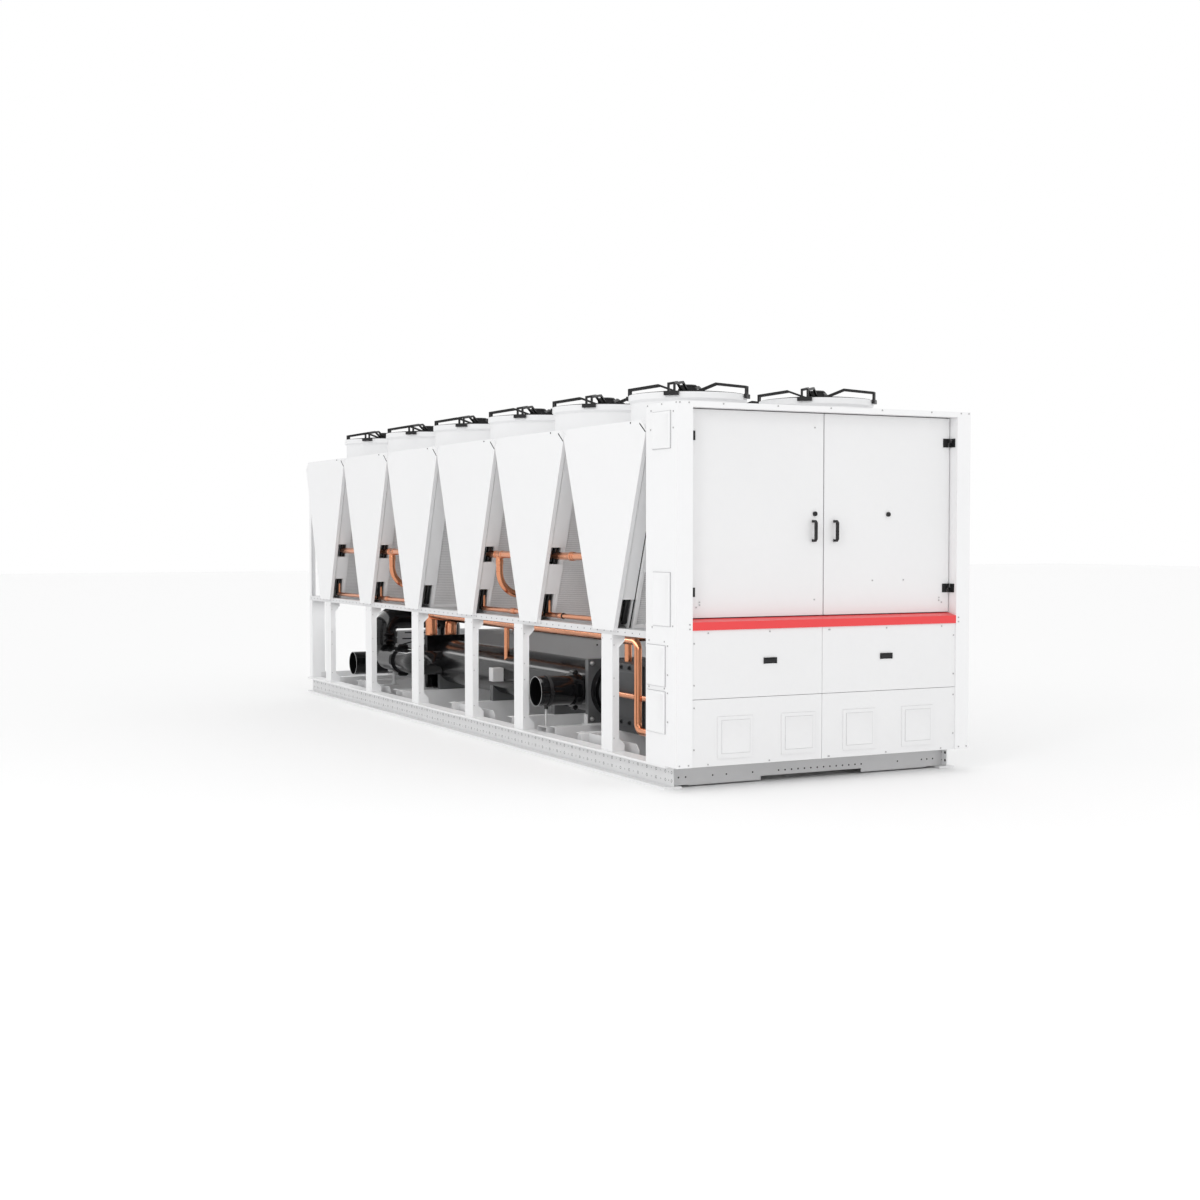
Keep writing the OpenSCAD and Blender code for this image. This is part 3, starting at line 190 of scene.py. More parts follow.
def make_dust_group() -> None:
    """Builds the mask of dust that lies in patches on faces that look up, and thinly on walls."""
    tilt = (0.1, 0.95)
    on_walls = 0.12
    patch = (0.35, 0.7)
    takes = {"Amount": (NUMBER, 0.2), "Scale": (NUMBER, 9.0)}
    graph, given, out = effect_group(Effect.DUST, takes, {"Mask": NUMBER})
    normal = graph.add("ShaderNodeNewGeometry").outputs["Normal"]
    upward = graph.add("ShaderNodeSeparateXYZ", {0: normal}).outputs["Z"]
    lying = graph.spread(upward, *tilt, on_walls, 1.0)
    patchy = graph.spread(graph.noise(given["Scale"], detail=5.0), *patch, 0.0, 1.0)
    mask = graph.maths("MULTIPLY", graph.maths("MULTIPLY", lying, patchy), given["Amount"])
    graph.tree.links.new(mask, out.inputs["Mask"])


def make_streak_group() -> None:
    """Builds the drawn marks of tube and rolled plate, with the tarnish that gathers in them."""
    squeeze = (0.12, 1.0, 0.35)
    marks = (0.18, 0.36)
    takes = {"Fine": (NUMBER, 90.0), "Patch": (NUMBER, 6.0)}
    graph, given, out = effect_group(Effect.STREAK, takes, {"Mask": NUMBER, "Height": NUMBER})
    stretch = graph.add("ShaderNodeVectorMath", {0: graph.place(), 1: squeeze}, operation="MULTIPLY")
    lines = graph.noise(given["Fine"], detail=3.0, vector=stretch.outputs[0])
    patch = graph.noise(given["Patch"], detail=4.0)
    mask = graph.spread(graph.maths("MULTIPLY", lines, patch), *marks, 0.0, 1.0)
    graph.tree.links.new(mask, out.inputs["Mask"])
    graph.tree.links.new(lines, out.inputs["Height"])


@dataclass(frozen=True)
class Finish:
    """Look of one material: its colour and shine, and how strong each shared effect is."""

    name: str
    slot: str
    colour: tuple[float, float, float]
    roughness: float
    metallic: float = 0.0
    specular: float = 0.5
    coat: float = 0.0
    coat_roughness: float = 0.12
    drift: float = 0.03
    drift_scale: float = 1.3
    peel: float = 0.05
    peel_scale: float = 260.0
    bump_depth: float = 0.002
    dust: float = 0.0
    dust_colour: tuple[float, float, float] = (0.46, 0.45, 0.43)
    tarnish: float = 0.0
    tarnish_colour: tuple[float, float, float] = (0.20, 0.09, 0.05)
    streak_height: float = 0.6
    fins: float = 0.0
    fin_pitch: float = 0.006
    fin_shade: tuple[float, float, float] = (0.10, 0.10, 0.105)

    def material(self) -> bpy.types.Material:
        """Returns the finish's material, built on first use."""
        return bpy.data.materials.get(self.name) or self._build()

    def _effect(self, graph: Graph, effect: Effect, inputs: dict[str, Any]) -> bpy.types.Node:
        """Places a shared effect in the material with this finish's values.

        Args:
            graph: the material's graph.
            effect: which effect.
            inputs: value of each input that differs from the effect's own.

        Returns:
            The group's node.
        """
        node = graph.add("ShaderNodeGroup", node_tree=bpy.data.node_groups[effect.value])
        for name, value in inputs.items():
            node.inputs[name].default_value = value
        return node

    def _build(self) -> bpy.types.Material:
        """Builds the node tree from the values of the finish.

        Returns:
            The new material.
        """
        material = bpy.data.materials.new(self.name)
        material.use_nodes = True
        graph = Graph(material.node_tree)
        shader = material.node_tree.nodes["Principled BSDF"]
        shader.inputs["Metallic"].default_value = self.metallic
        shader.inputs["Specular IOR Level"].default_value = self.specular
        shader.inputs["Coat Weight"].default_value = self.coat
        shader.inputs["Coat Roughness"].default_value = self.coat_roughness
        tone = self._effect(graph, Effect.TONE, {"Colour": (*self.colour, 1.0), "Amount": self.drift,
                                                 "Scale": self.drift_scale, "Roughness": self.roughness})
        colour = tone.outputs["Colour"]
        height = self._effect(graph, Effect.PEEL, {"Scale": self.peel_scale}).outputs["Height"]
        if self.tarnish:
            streak = self._effect(graph, Effect.STREAK, {})
            amount = graph.maths("MULTIPLY", streak.outputs["Mask"], self.tarnish)
            colour = graph.mix(amount, colour, (*self.tarnish_colour, 1.0))
            raised = graph.maths("MULTIPLY", streak.outputs["Height"], self.streak_height)
            height = graph.maths("ADD", height, raised)
        if self.fins:
            colour, height = self._finned(graph, colour, height)
        if self.dust:
            dust = self._effect(graph, Effect.DUST, {"Amount": self.dust})
            colour = graph.mix(dust.outputs["Mask"], colour, (*self.dust_colour, 1.0))
        relief = {"Strength": self.peel, "Distance": self.bump_depth, "Height": height}
        bump = graph.add("ShaderNodeBump", relief)
        links = {"Base Color": colour, "Roughness": tone.outputs["Roughness"],
                 "Normal": bump.outputs["Normal"]}
        for name, socket in links.items():
            graph.tree.links.new(socket, shader.inputs[name])
        return material

    def _finned(self, graph: Graph, colour: Any, height: Any) -> tuple[Any, Any]:
        """Adds the upright fins between flat tubes.

        Args:
            graph: the material's graph.
            colour: the colour so far.
            height: the bump height so far.

        Returns:
            The darkened colour and the raised height.
        """
        across = graph.add("ShaderNodeSeparateXYZ", {0: graph.place()}).outputs["Y"]
        turns = graph.maths("MULTIPLY", across, math.tau / self.fin_pitch)
        wave = graph.spread(graph.maths("SINE", turns, 0.0), -1.0, 1.0, 0.0, 1.0)
        dark = graph.mix(graph.maths("MULTIPLY", wave, self.fins), colour, (*self.fin_shade, 1.0))
        return dark, graph.maths("ADD", height, wave)


class Look:
    """Finishes of the chiller."""

    WHITE = Finish("white_powder_coat", "white_paint", (0.86, 0.862, 0.868), 0.42, drift=0.012,
                   dust=0.05, dust_colour=(0.62, 0.61, 0.59))
    DOOR = Finish("door_powder_coat", "white_paint", (0.81, 0.811, 0.816), 0.40, drift=0.012,
                  dust=0.04, dust_colour=(0.62, 0.61, 0.59))
    FRAME = Finish("frame_powder_coat", "white_paint", (0.72, 0.722, 0.728), 0.44, drift=0.015,
                   dust=0.05, dust_colour=(0.55, 0.54, 0.53))
    LIGHT = Finish("light_grey_powder_coat", "light_grey_paint", (0.60, 0.60, 0.605), 0.45,
                   drift=0.03, dust=0.10)
    # The next two finishes are lit and shaded copies of one light grey paint: the lighter one paints the
    # light that falls on the flange tops, the darker one paints the shade on the web.
    LIT_RAIL = Finish("galvanised_rail_lit_flanges", "light_grey_paint", (0.84, 0.842, 0.846), 0.42, drift=0.03,
                  drift_scale=5.0, peel=0.10, peel_scale=120.0, dust=0.06)
    SHADED_WEB = Finish("rail_web_sheet", "light_grey_paint", (0.72, 0.722, 0.726), 0.45, drift=0.03,
                 drift_scale=4.0, peel=0.10, peel_scale=120.0, dust=0.04)
    GREY = Finish("mid_grey_paint", "mid_grey_paint", (0.36, 0.36, 0.365), 0.45, drift=0.04, dust=0.12)
    END = Finish("end_plate_paint", "mid_grey_paint", (0.62, 0.62, 0.625), 0.45, drift=0.04, dust=0.08)
    PLATE = Finish("tube_plate_paint", "mid_grey_paint", (0.10, 0.102, 0.105), 0.42, drift=0.06,
                   drift_scale=5.0, dust=0.06)
    RED = Finish("red_powder_coat", "red_paint", (0.80, 0.045, 0.05), 0.34, coat=0.2, drift=0.02)
    PLASTIC = Finish("black_moulding", "black_plastic", (0.009, 0.009, 0.010), 0.40, specular=0.35,
                     drift=0.05, peel=0.2, peel_scale=500.0, dust=0.03)
    FAN = Finish("black_fan_moulding", "black_plastic", (0.016, 0.016, 0.018), 0.38, specular=0.4,
                 drift=0.06, peel=0.15, peel_scale=420.0, dust=0.06)
    LAGGING = Finish("black_lagging", "black_insulation", (0.004, 0.004, 0.0045), 0.17, specular=0.30,
                     drift=0.02, drift_scale=4.0, peel=0.05, peel_scale=40.0)
    GLOSS = Finish("glossy_black_iron", "black_insulation", (0.005, 0.005, 0.0055), 0.06, specular=0.30,
                   coat=0.12, drift=0.015, peel=0.03, peel_scale=90.0)
    COPPER = Finish("drawn_copper", "copper_pipe", (0.72, 0.31, 0.17), 0.21, metallic=1.0, drift=0.04,
                    drift_scale=7.0, peel=0.03, tarnish=0.10)
    COIL = Finish("finned_aluminium", "coil_aluminium", (0.82, 0.82, 0.825), 0.46, metallic=0.10,
                  drift=0.05, drift_scale=3.0, peel=0.25, fins=0.35, dust=0.04)
    TUBE = Finish("extruded_aluminium", "coil_aluminium", (0.88, 0.882, 0.886), 0.38, metallic=0.3,
                  drift=0.05, drift_scale=4.0, peel=0.08)
    IRON = Finish("cast_iron_paint", "dark_iron", (0.045, 0.047, 0.05), 0.48, specular=0.35, drift=0.12,
                  drift_scale=9.0, peel=0.45, peel_scale=160.0, dust=0.05)
    ZINC = Finish("zinc_fastener", "coil_aluminium", (0.50, 0.50, 0.50), 0.36, metallic=0.8, drift=0.08,
                  drift_scale=30.0)
    SHADOW = Finish("punched_shadow", "black_plastic", (0.03, 0.03, 0.032), 0.7, specular=0.2, drift=0.1)


# Modelling by operators

def clear_selection() -> None:
    """Leaves object mode with nothing selected, so that an operator acts only on what is taken next."""
    if bpy.context.mode != "OBJECT":
        bpy.ops.object.mode_set(mode="OBJECT")
    bpy.ops.object.select_all(action="DESELECT")


def take(obj: bpy.types.Object) -> bpy.types.Object:
    """Makes one object the only selected and active one.

    Args:
        obj: the object.

    Returns:
        The object.
    """
    clear_selection()
    obj.select_set(True)
    bpy.context.view_layer.objects.active = obj
    return obj


def settle(obj: bpy.types.Object) -> bpy.types.Object:
    """Moves an object's place, turn and size into its mesh.

    Args:
        obj: the object.

    Returns:
        The object.
    """
    take(obj)
    bpy.ops.object.transform_apply(location=True, rotation=True, scale=True)
    return obj


def block(low: Point, high: Point) -> bpy.types.Object:
    """Adds a box between two corners.

    Args:
        low: lowest corner.
        high: highest corner.

    Returns:
        The box, with its place in its mesh.
    """
    a, b = Vector(low), Vector(high)
    clear_selection()
    bpy.ops.mesh.primitive_cube_add(size=1.0, location=(a + b) / 2, scale=b - a)
    return settle(bpy.context.object)


def rod(start: Point, end: Point, radius: float, sides: int = 12) -> bpy.types.Object:
    """Adds a round bar between two points.

    Args:
        start: middle of one end.
        end: middle of the other end.
        radius: radius of the bar.
        sides: flats round it.

    Returns:
        The bar, with its place in its mesh.
    """
    a, b = Vector(start), Vector(end)
    turn = Vector(UP).rotation_difference(b - a).to_euler()
    clear_selection()
    bpy.ops.mesh.primitive_cylinder_add(vertices=sides, radius=radius, depth=(b - a).length,
                                        location=(a + b) / 2, rotation=turn)
    return settle(bpy.context.object)


def hoop(middle: Point, radius: float, wire: float, sides: int = 48, wire_sides: int = 6) -> bpy.types.Object:
    """Adds a level ring of wire.

    Args:
        middle: centre of the ring.
        radius: radius of the wire's centre line.
        wire: radius of the wire.
        sides: steps round the ring.
        wire_sides: flats round the wire.

    Returns:
        The ring, with its place in its mesh.
    """
    clear_selection()
    bpy.ops.mesh.primitive_torus_add(location=middle, major_radius=radius, minor_radius=wire,
                                     major_segments=sides, minor_segments=wire_sides)
    return settle(bpy.context.object)


def pick_faces(obj: bpy.types.Object, wanted: FaceTest) -> None:
    """Enters edit mode with only the wanted faces selected.

    Args:
        obj: the object to edit.
        wanted: test of a face's middle and normal.
    """
    take(obj)
    bpy.ops.object.mode_set(mode="EDIT")
    bpy.ops.mesh.select_mode(type="FACE")
    bpy.ops.mesh.select_all(action="DESELECT")
    bpy.ops.object.mode_set(mode="OBJECT")
    for face in obj.data.polygons:
        face.select = wanted(face.center, face.normal)
    bpy.ops.object.mode_set(mode="EDIT")


def step_faces(obj: bpy.types.Object, wanted: FaceTest, *steps: Step) -> bpy.types.Object:
    """Insets faces in one or more steps.

    Args:
        obj: the object to edit.
        wanted: test of a face's middle and normal.
        steps: width of each inset and how far it rises.

    Returns:
        The object.
    """
    pick_faces(obj, wanted)
    for width, rise in steps:
        bpy.ops.mesh.inset(thickness=width, depth=rise)
    bpy.ops.object.mode_set(mode="OBJECT")
    return obj


def toward(direction: Point) -> FaceTest:
    """Returns a test for faces that look along a direction."""
    aim = Vector(direction).normalized()
    return lambda middle, normal: normal.dot(aim) > SAME_WAY


def apply_modifier(obj: bpy.types.Object, kind: str, **settings: Any) -> bpy.types.Object:
    """Adds a modifier and applies it.

    Args:
        obj: the object to change.
        kind: Blender's name of the modifier type.
        settings: attributes of the modifier.

    Returns:
        The object.
    """
    take(obj)
    modifier = obj.modifiers.new(kind.lower(), kind)
    for name, value in settings.items():
        setattr(modifier, name, value)
    bpy.ops.object.modifier_apply(modifier=modifier.name)
    return obj


def soften(obj: bpy.types.Object, width: float, segments: int = 2) -> bpy.types.Object:
    """Rounds the sharp edges of an object and returns it."""
    return apply_modifier(obj, "BEVEL", width=width, segments=segments, limit_method="ANGLE",
                          angle_limit=SHARP_EDGE)


def join(objects: Iterable[bpy.types.Object]) -> bpy.types.Object:
    """Joins objects into the first of them.

    Args:
        objects: the objects, of which all but the first are used up.

    Returns:
        The first object.
    """
    group = list(objects)
    take(group[0])
    for obj in group[1:]:
        obj.select_set(True)
    bpy.ops.object.join()
    return group[0]


def spread(master: bpy.types.Object, places: Iterable[Matrix]) -> bpy.types.Object:
    """Copies a shape to several places, each copy with its own mesh, and joins them.

    Args:
        master: the shape at the origin, which is used up.
        places: where each copy stands.

    Returns:
        The joined copies.
    """
    copies = []
    for place in places:
        copy = master.copy()
        copy.data = master.data.copy()
        copy.data.transform(place)
        if place.determinant() < 0:
            copy.data.flip_normals()
        bpy.context.collection.objects.link(copy)
        copies.append(copy)
    bpy.data.objects.remove(master)
    return join(copies)


def facing(point: Point, normal: Point) -> Matrix:
    """Returns the place of a shape that stands at a point and looks along a normal."""
    turn = Vector(UP).rotation_difference(Vector(normal))
    return Matrix.Translation(Vector(point)) @ turn.to_matrix().to_4x4()


def finish(obj: bpy.types.Object, name: str, look: Finish, body: str = "root") -> bpy.types.Object:
    """Names and dresses a piece and sets it on its body.

    Args:
        obj: the finished shape.
        name: name of the piece.
        look: its finish.
        body: the body that it rides on.

    Returns:
        The piece.
    """
    obj.name = name
    obj.data.name = name
    obj.data.materials.clear()
    obj.data.materials.append(look.material())
    take(obj)
    bpy.ops.object.shade_smooth_by_angle(angle=SMOOTH_EDGE)
    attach(obj, body)
    LOG.info("%s: %d faces on %s", name, len(obj.data.polygons), body)
    return obj


def dress(look: Finish, *nodes: str) -> None:
    """Gives solids of the frame their finish.

    Args:
        look: the finish.
        nodes: names of the solids.
    """
    for name in nodes:
        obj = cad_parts[name]
        if not obj.material_slots:
            obj.data.materials.append(None)
        for slot in obj.material_slots:
            slot.material = look.material()
        LOG.info("%s: %s", name, look.name)


@dataclass(frozen=True)
class Fastener:
    """Screw or bolt head that stands on a face at the origin and looks up.

    The steps of its crown, socket and washer are shares of its own radius, height and washer.
    """

    radius: float = 0.0055
    height: float = 0.0028
    sides: int = 10
    washer: float = 0.0
    crown: Step = (0.22, 0.25)
    land: Step = (0.3, 0.0)
    socket: Step = (0.05, -0.4)
    washer_ratio: float = 3.0
    washer_step: Step = (0.12, 0.2)
    washer_sides: int = 12

    def model(self) -> bpy.types.Object:
        """Models the head with a crowned rim and a socket.

        Returns:
            The head at the origin.
        """
        base = self.washer / self.washer_ratio
        head = rod((0, 0, base), (0, 0, base + self.height), self.radius, self.sides)
        shares = (self.crown, self.land, self.socket)
        step_faces(head, toward(UP), *[(self.radius * wide, self.height * rise) for wide, rise in shares])
        if not self.washer:
            return head
        plate = rod((0, 0, 0), (0, 0, base), self.washer, self.washer_sides)
        wide, rise = self.washer_step
        step_faces(plate, toward(UP), (self.washer * wide, base * rise))
        return join([head, plate])


PAN_SCREW = Fastener()
SMALL_SCREW = Fastener(0.004, 0.002, 8)
HEX_BOLT = Fastener(0.011, 0.010, 6, 0.017)
LARGE_BOLT = Fastener(0.016, 0.014, 6, 0.024)
CLAMP_BOLT = Fastener(0.008, 0.007, 6)


@dataclass(frozen=True)
class PunchedHole:
    """Round hole in a sheet, shown by its drawn rim and dark bottom.

    The land and the sunk step are shares of its own radius and rim.
    """

    radius: float
    rim: float = 0.0006
    sides: int = 10
    land: float = 0.16
    sunk: Step = (0.1, -0.7)

    def model(self) -> bpy.types.Object:
        """Models the rim and the sunk bottom.

        Returns:
            The hole at the origin.
        """
        disc = rod((0, 0, 0), (0, 0, self.rim), self.radius, self.sides)
        wide, drop = self.sunk
        return step_faces(disc, toward(UP), (self.radius * self.land, 0.0),
                          (self.radius * wide, self.rim * drop))


# Sub-assemblies

@dataclass
class Unit:
    """Main planes of the chiller, read off the frame."""

    coil_foot_half: float = 0.136
    coil_thick: float = 0.050
    cover_foot: float = 1.165
    cover_gap: tuple[float, float] = (1.380, 1.500)
    rear: float = field(init=False)
    front: float = field(init=False)
    side: float = field(init=False)
    cab_back: float = field(init=False)
    frame_y: float = field(init=False)
    mid_low: float = field(init=False)
    mid_top: float = field(init=False)
    coil_near: float = field(init=False)
    coil_far: float = field(init=False)
    coil_top: float = field(init=False)
    deck: float = field(init=False)
    rim: float = field(init=False)
    rim_r: float = field(init=False)
    fan_y: float = field(init=False)
    fan_shift: float = field(init=False)
    pitch: float = field(init=False)
    slope: float = field(init=False)
    lean: float = field(init=False)

    def __post_init__(self) -> None:
        """Reads the planes off the boxes of the solids that carry them."""
        rails, cabinet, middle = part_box("base_rails"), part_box("cabinet_sides"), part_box("mid_rails")
        coils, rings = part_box("condenser_coils"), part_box("near_fan_rings")
        self.rear, self.side = rails[0].x, rails[1].y
        self.cab_back, self.front = cabinet[0].x, cabinet[1].x
        self.frame_y, self.mid_low, self.mid_top = middle[1].y, middle[0].z, middle[1].z
        self.coil_near, self.coil_far, self.coil_top = coils[0].y, coils[1].y, coils[1].z
        self.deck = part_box("fan_deck")[1].z
        self.rim, self.rim_r = rings[1].z, (rings[1].y - rings[0].y) / 2
        self.fan_y = -(rings[0].y + rings[1].y) / 2
        self.pitch = (self.cab_back - self.rear) / MODULES
        self.fan_shift = rings[0].x + self.rim_r - self.module_x(0)
        top_face = coils[1].x - self.module_x(MODULES - 1)
        self.slope = (top_face - self.coil_foot_half) / (self.coil_top - self.mid_top)
        self.lean = math.atan(self.slope)

    def module_x(self, index: int) -> float:
        """Returns the middle of a coil module along the unit."""
        return self.rear + self.pitch * (index + 0.5)

    def fans(self) -> list[Vector]:
        """Returns the middle of each fan at the height of its rim."""
        return [Vector((self.module_x(i) + self.fan_shift, side * self.fan_y, self.rim))
                for side in SIDES for i in range(MODULES)]

    def face(self, height: float) -> float:
        """Returns the outer face of a coil at a height, from the middle of its module."""
        return self.coil_foot_half + self.slope * (height - self.mid_top)

    def coils(self) -> list[tuple[int, float]]:
        """Returns the module and the leaning side of each coil."""
        return [(index, side) for index in range(MODULES) for side in SIDES]


@dataclass
class BaseFrame:
    """Base rails, posts and middle rails, with their punched holes and screws."""

    unit: Unit
    web_out: float = 1.0742
    web_in: float = 1.0658
    web_proud: float = 0.0008
    web_rise: tuple[float, float] = (0.0145, 0.1355)
    web_seams: tuple[float, ...] = (-2.82, -1.62, -0.42, 0.74)
    web_gap: float = 0.004
    web_edge: Step = (0.002, 0.0002)
    hole_pitch: float = 0.12175
    hole_start: float = 0.053
    hole_rows: tuple[float, float] = (0.105, 0.052)
    hole_r: float = 0.0095
    small_hole_r: float = 0.0045
    small_hole_sides: int = 6
    run_past: float = 0.2
    rail_end: float = 3.65
    end_holes: tuple[float, float] = (3.637, 3.600)
    tick_pitch: float = 0.04
    tick_w: float = 0.005
    tick_h: float = 0.0006
    tick_out: float = 0.003
    tick_short: float = 0.004
    tick_sunk: Step = (0.001, -0.0003)
    flange_t: float = 0.014
    mid_hole_pitch: float = 0.1
    mid_hole_start: float = 0.06
    post_w: float = 0.160
    post_x: tuple[float, ...] = (-3.2, -2.0, -0.8, 0.4, 1.363, 2.8)
    post_screw_heights: tuple[float, ...] = (0.24, 0.52, 0.64, 0.86)
    post_screw_in: float = 0.012
    head_screw_x: float = 0.062
    head_screw_drop: float = 0.03
    end_plate_x: float = 3.6
    end_plate_hole_z: float = 0.064
    end_plate_hole_r: float = 0.006
    end_plate_holes: tuple[float, ...] = (-1.005, -0.953, -0.755, -0.653, -0.456, 0.693, 0.894, 0.940, 0.989)
    end_plate_row: tuple[float, float] = (-0.258, 0.395)
    end_plate_pitch: float = 0.05
    rear_post_x: float = -3.72
    rear_hole_y: float = 1.048
    rear_hole_r: float = 0.007
    rear_holes: tuple[float, ...] = (0.250, 0.300, 0.520, 0.570, 0.790, 0.840)
    plain_hole_sides: int = 8

    def build(self) -> None:
        """Dresses the frame's solids and adds its holes and screws."""
        # The rails take the lighter copy of their grey, which paints the light falling on the flange tops.
        dress(Look.LIT_RAIL, "base_rails")
        dress(Look.END, "front_end_plate")
        dress(Look.FRAME, "mid_rails", "base_cross_members")
        dress(Look.WHITE, "posts", "rear_columns")
        self.web_sheets()
        self.flange_ticks()
        self.rail_holes()
        self.middle_rail_holes()
        self.end_plate_marks()
        self.post_screws()

    def _along(self, pitch: float, start: float) -> list[float]:
        """Returns places along a rail at one pitch, the first at a distance from its rear end."""
        count = int((self.unit.cab_back + self.run_past - self.unit.rear - start) / pitch)
        return [self.unit.rear + start + pitch * i for i in range(count + 1)]

    def _web_places(self, along: Sequence[float]) -> list[Matrix]:
        """Repeats a row of holes on both faces of both rail webs, at both heights.

        Args:
            along: places of the holes along the rail.

        Returns:
            The place of each hole.
        """
        skin = self.web_out + self.web_proud
        outer, inner = (skin, 1), (self.web_in, -1)
        faces = [(side * depth, side * way) for side in SIDES for depth, way in (outer, inner)]
        return [facing((x, y, z), (0, way, 0)) for y, way in faces for z in self.hole_rows for x in along]

    def web_sheets(self) -> None:
        """Adds the sheets that clad the outer face of each rail web, with open seams between them; their
        darker copy of the rail's grey is painted shade on the web.
        """
        edges = (self.unit.rear, *self.web_seams, self.rail_end)
        low, high = self.web_rise
        sheets = []
        for side in SIDES:
            y0, y1 = sorted((side * self.web_out, side * (self.web_out + self.web_proud)))
            for x0, x1 in zip(edges, edges[1:]):
                sheet = block((x0 + self.web_gap / 2, y0, low), (x1 - self.web_gap / 2, y1, high))
                sheets.append(step_faces(sheet, toward((0, side, 0)), self.web_edge))
        finish(join(sheets), "rail_web_sheets", Look.SHADED_WEB)

    def flange_ticks(self) -> None:
        """Adds the fine grooves across the lower flange outside the web, in the darker copy of the rail's
        grey, which paints their shade.
        """
        length = self.unit.side - self.web_out - self.tick_short
        groove = block((-self.tick_w / 2, 0, 0), (self.tick_w / 2, length, self.tick_h))
        step_faces(groove, toward(UP), self.tick_sunk)
        count = int((self.rail_end - self.unit.rear) / self.tick_pitch)
        start = self.web_out + self.tick_out
        places = []
        for side in SIDES:
            for i in range(1, count):
                at = (self.unit.rear + self.tick_pitch * i, side * start, self.flange_t)
                places.append(Matrix.Translation(at) @ Matrix.Diagonal((1, side, 1, 1)))
        finish(spread(groove, places), "rail_flange_grooves", Look.SHADED_WEB)

    def rail_holes(self) -> None:
        """Adds the rows of large and small holes in the rail webs, and the holes of the rear posts."""
        run = self._along(self.hole_pitch, self.hole_start)
        middles = [x + self.hole_pitch / 2 for x in run[:-1]]
        large = self._web_places((*run, self.end_holes[0]))
        small = self._web_places((*middles, self.end_holes[1]))
        finish(spread(PunchedHole(self.hole_r).model(), large), "rail_web_holes", Look.SHADOW)
        pilot = PunchedHole(self.small_hole_r, sides=self.small_hole_sides).model()
        finish(spread(pilot, small), "rail_pilot_holes", Look.SHADOW)
        rear = [facing((self.rear_post_x, side * self.rear_hole_y, z), AHEAD)
                for side in SIDES for z in self.rear_holes]
        hole = PunchedHole(self.rear_hole_r, sides=self.plain_hole_sides).model()
        finish(spread(hole, rear), "rear_post_holes", Look.WHITE)

    def middle_rail_holes(self) -> None:
        """Adds the row of small holes along each middle rail."""
        height = (self.unit.mid_low + self.unit.mid_top) / 2
        row = [x for x in self._along(self.mid_hole_pitch, self.mid_hole_start) if x < self.unit.cab_back]
        places = [facing((x, side * self.unit.frame_y, height), (0, side, 0)) for side in SIDES for x in row]
        hole = PunchedHole(self.small_hole_r, sides=self.small_hole_sides).model()
        finish(spread(hole, places), "middle_rail_holes", Look.SHADOW)

    def end_plate_marks(self) -> None:
        """Adds the row of holes in the end plate under the cabinet."""
        low, high = self.end_plate_row
        count = round((high - low) / self.end_plate_pitch)
        row = [low + (high - low) * i / count for i in range(count + 1)]
        places = [facing((self.end_plate_x, y, self.end_plate_hole_z), AHEAD)
                  for y in (*self.end_plate_holes, *row)]
        hole = PunchedHole(self.end_plate_hole_r, sides=self.plain_hole_sides).model()
        finish(spread(hole, places), "end_plate_holes", Look.SHADOW)

    def post_screws(self) -> None:
        """Adds the screws in the returns of the posts and at their heads."""
        head_z = self.unit.mid_low - self.head_screw_drop
        places = []
        for x in self.post_x:
            for side in SIDES:
                edge = side * (self.unit.frame_y - self.post_screw_in)
                places += [facing((x + way * self.post_w / 2, edge, z), (way, 0, 0))
                           for way in SIDES for z in self.post_screw_heights]
                heads = [(x + way * self.head_screw_x, side * self.unit.frame_y, head_z) for way in SIDES]
                places += [facing(head, (0, side, 0)) for head in heads]
        finish(spread(SMALL_SCREW.model(), places), "post_screws", Look.ZINC)


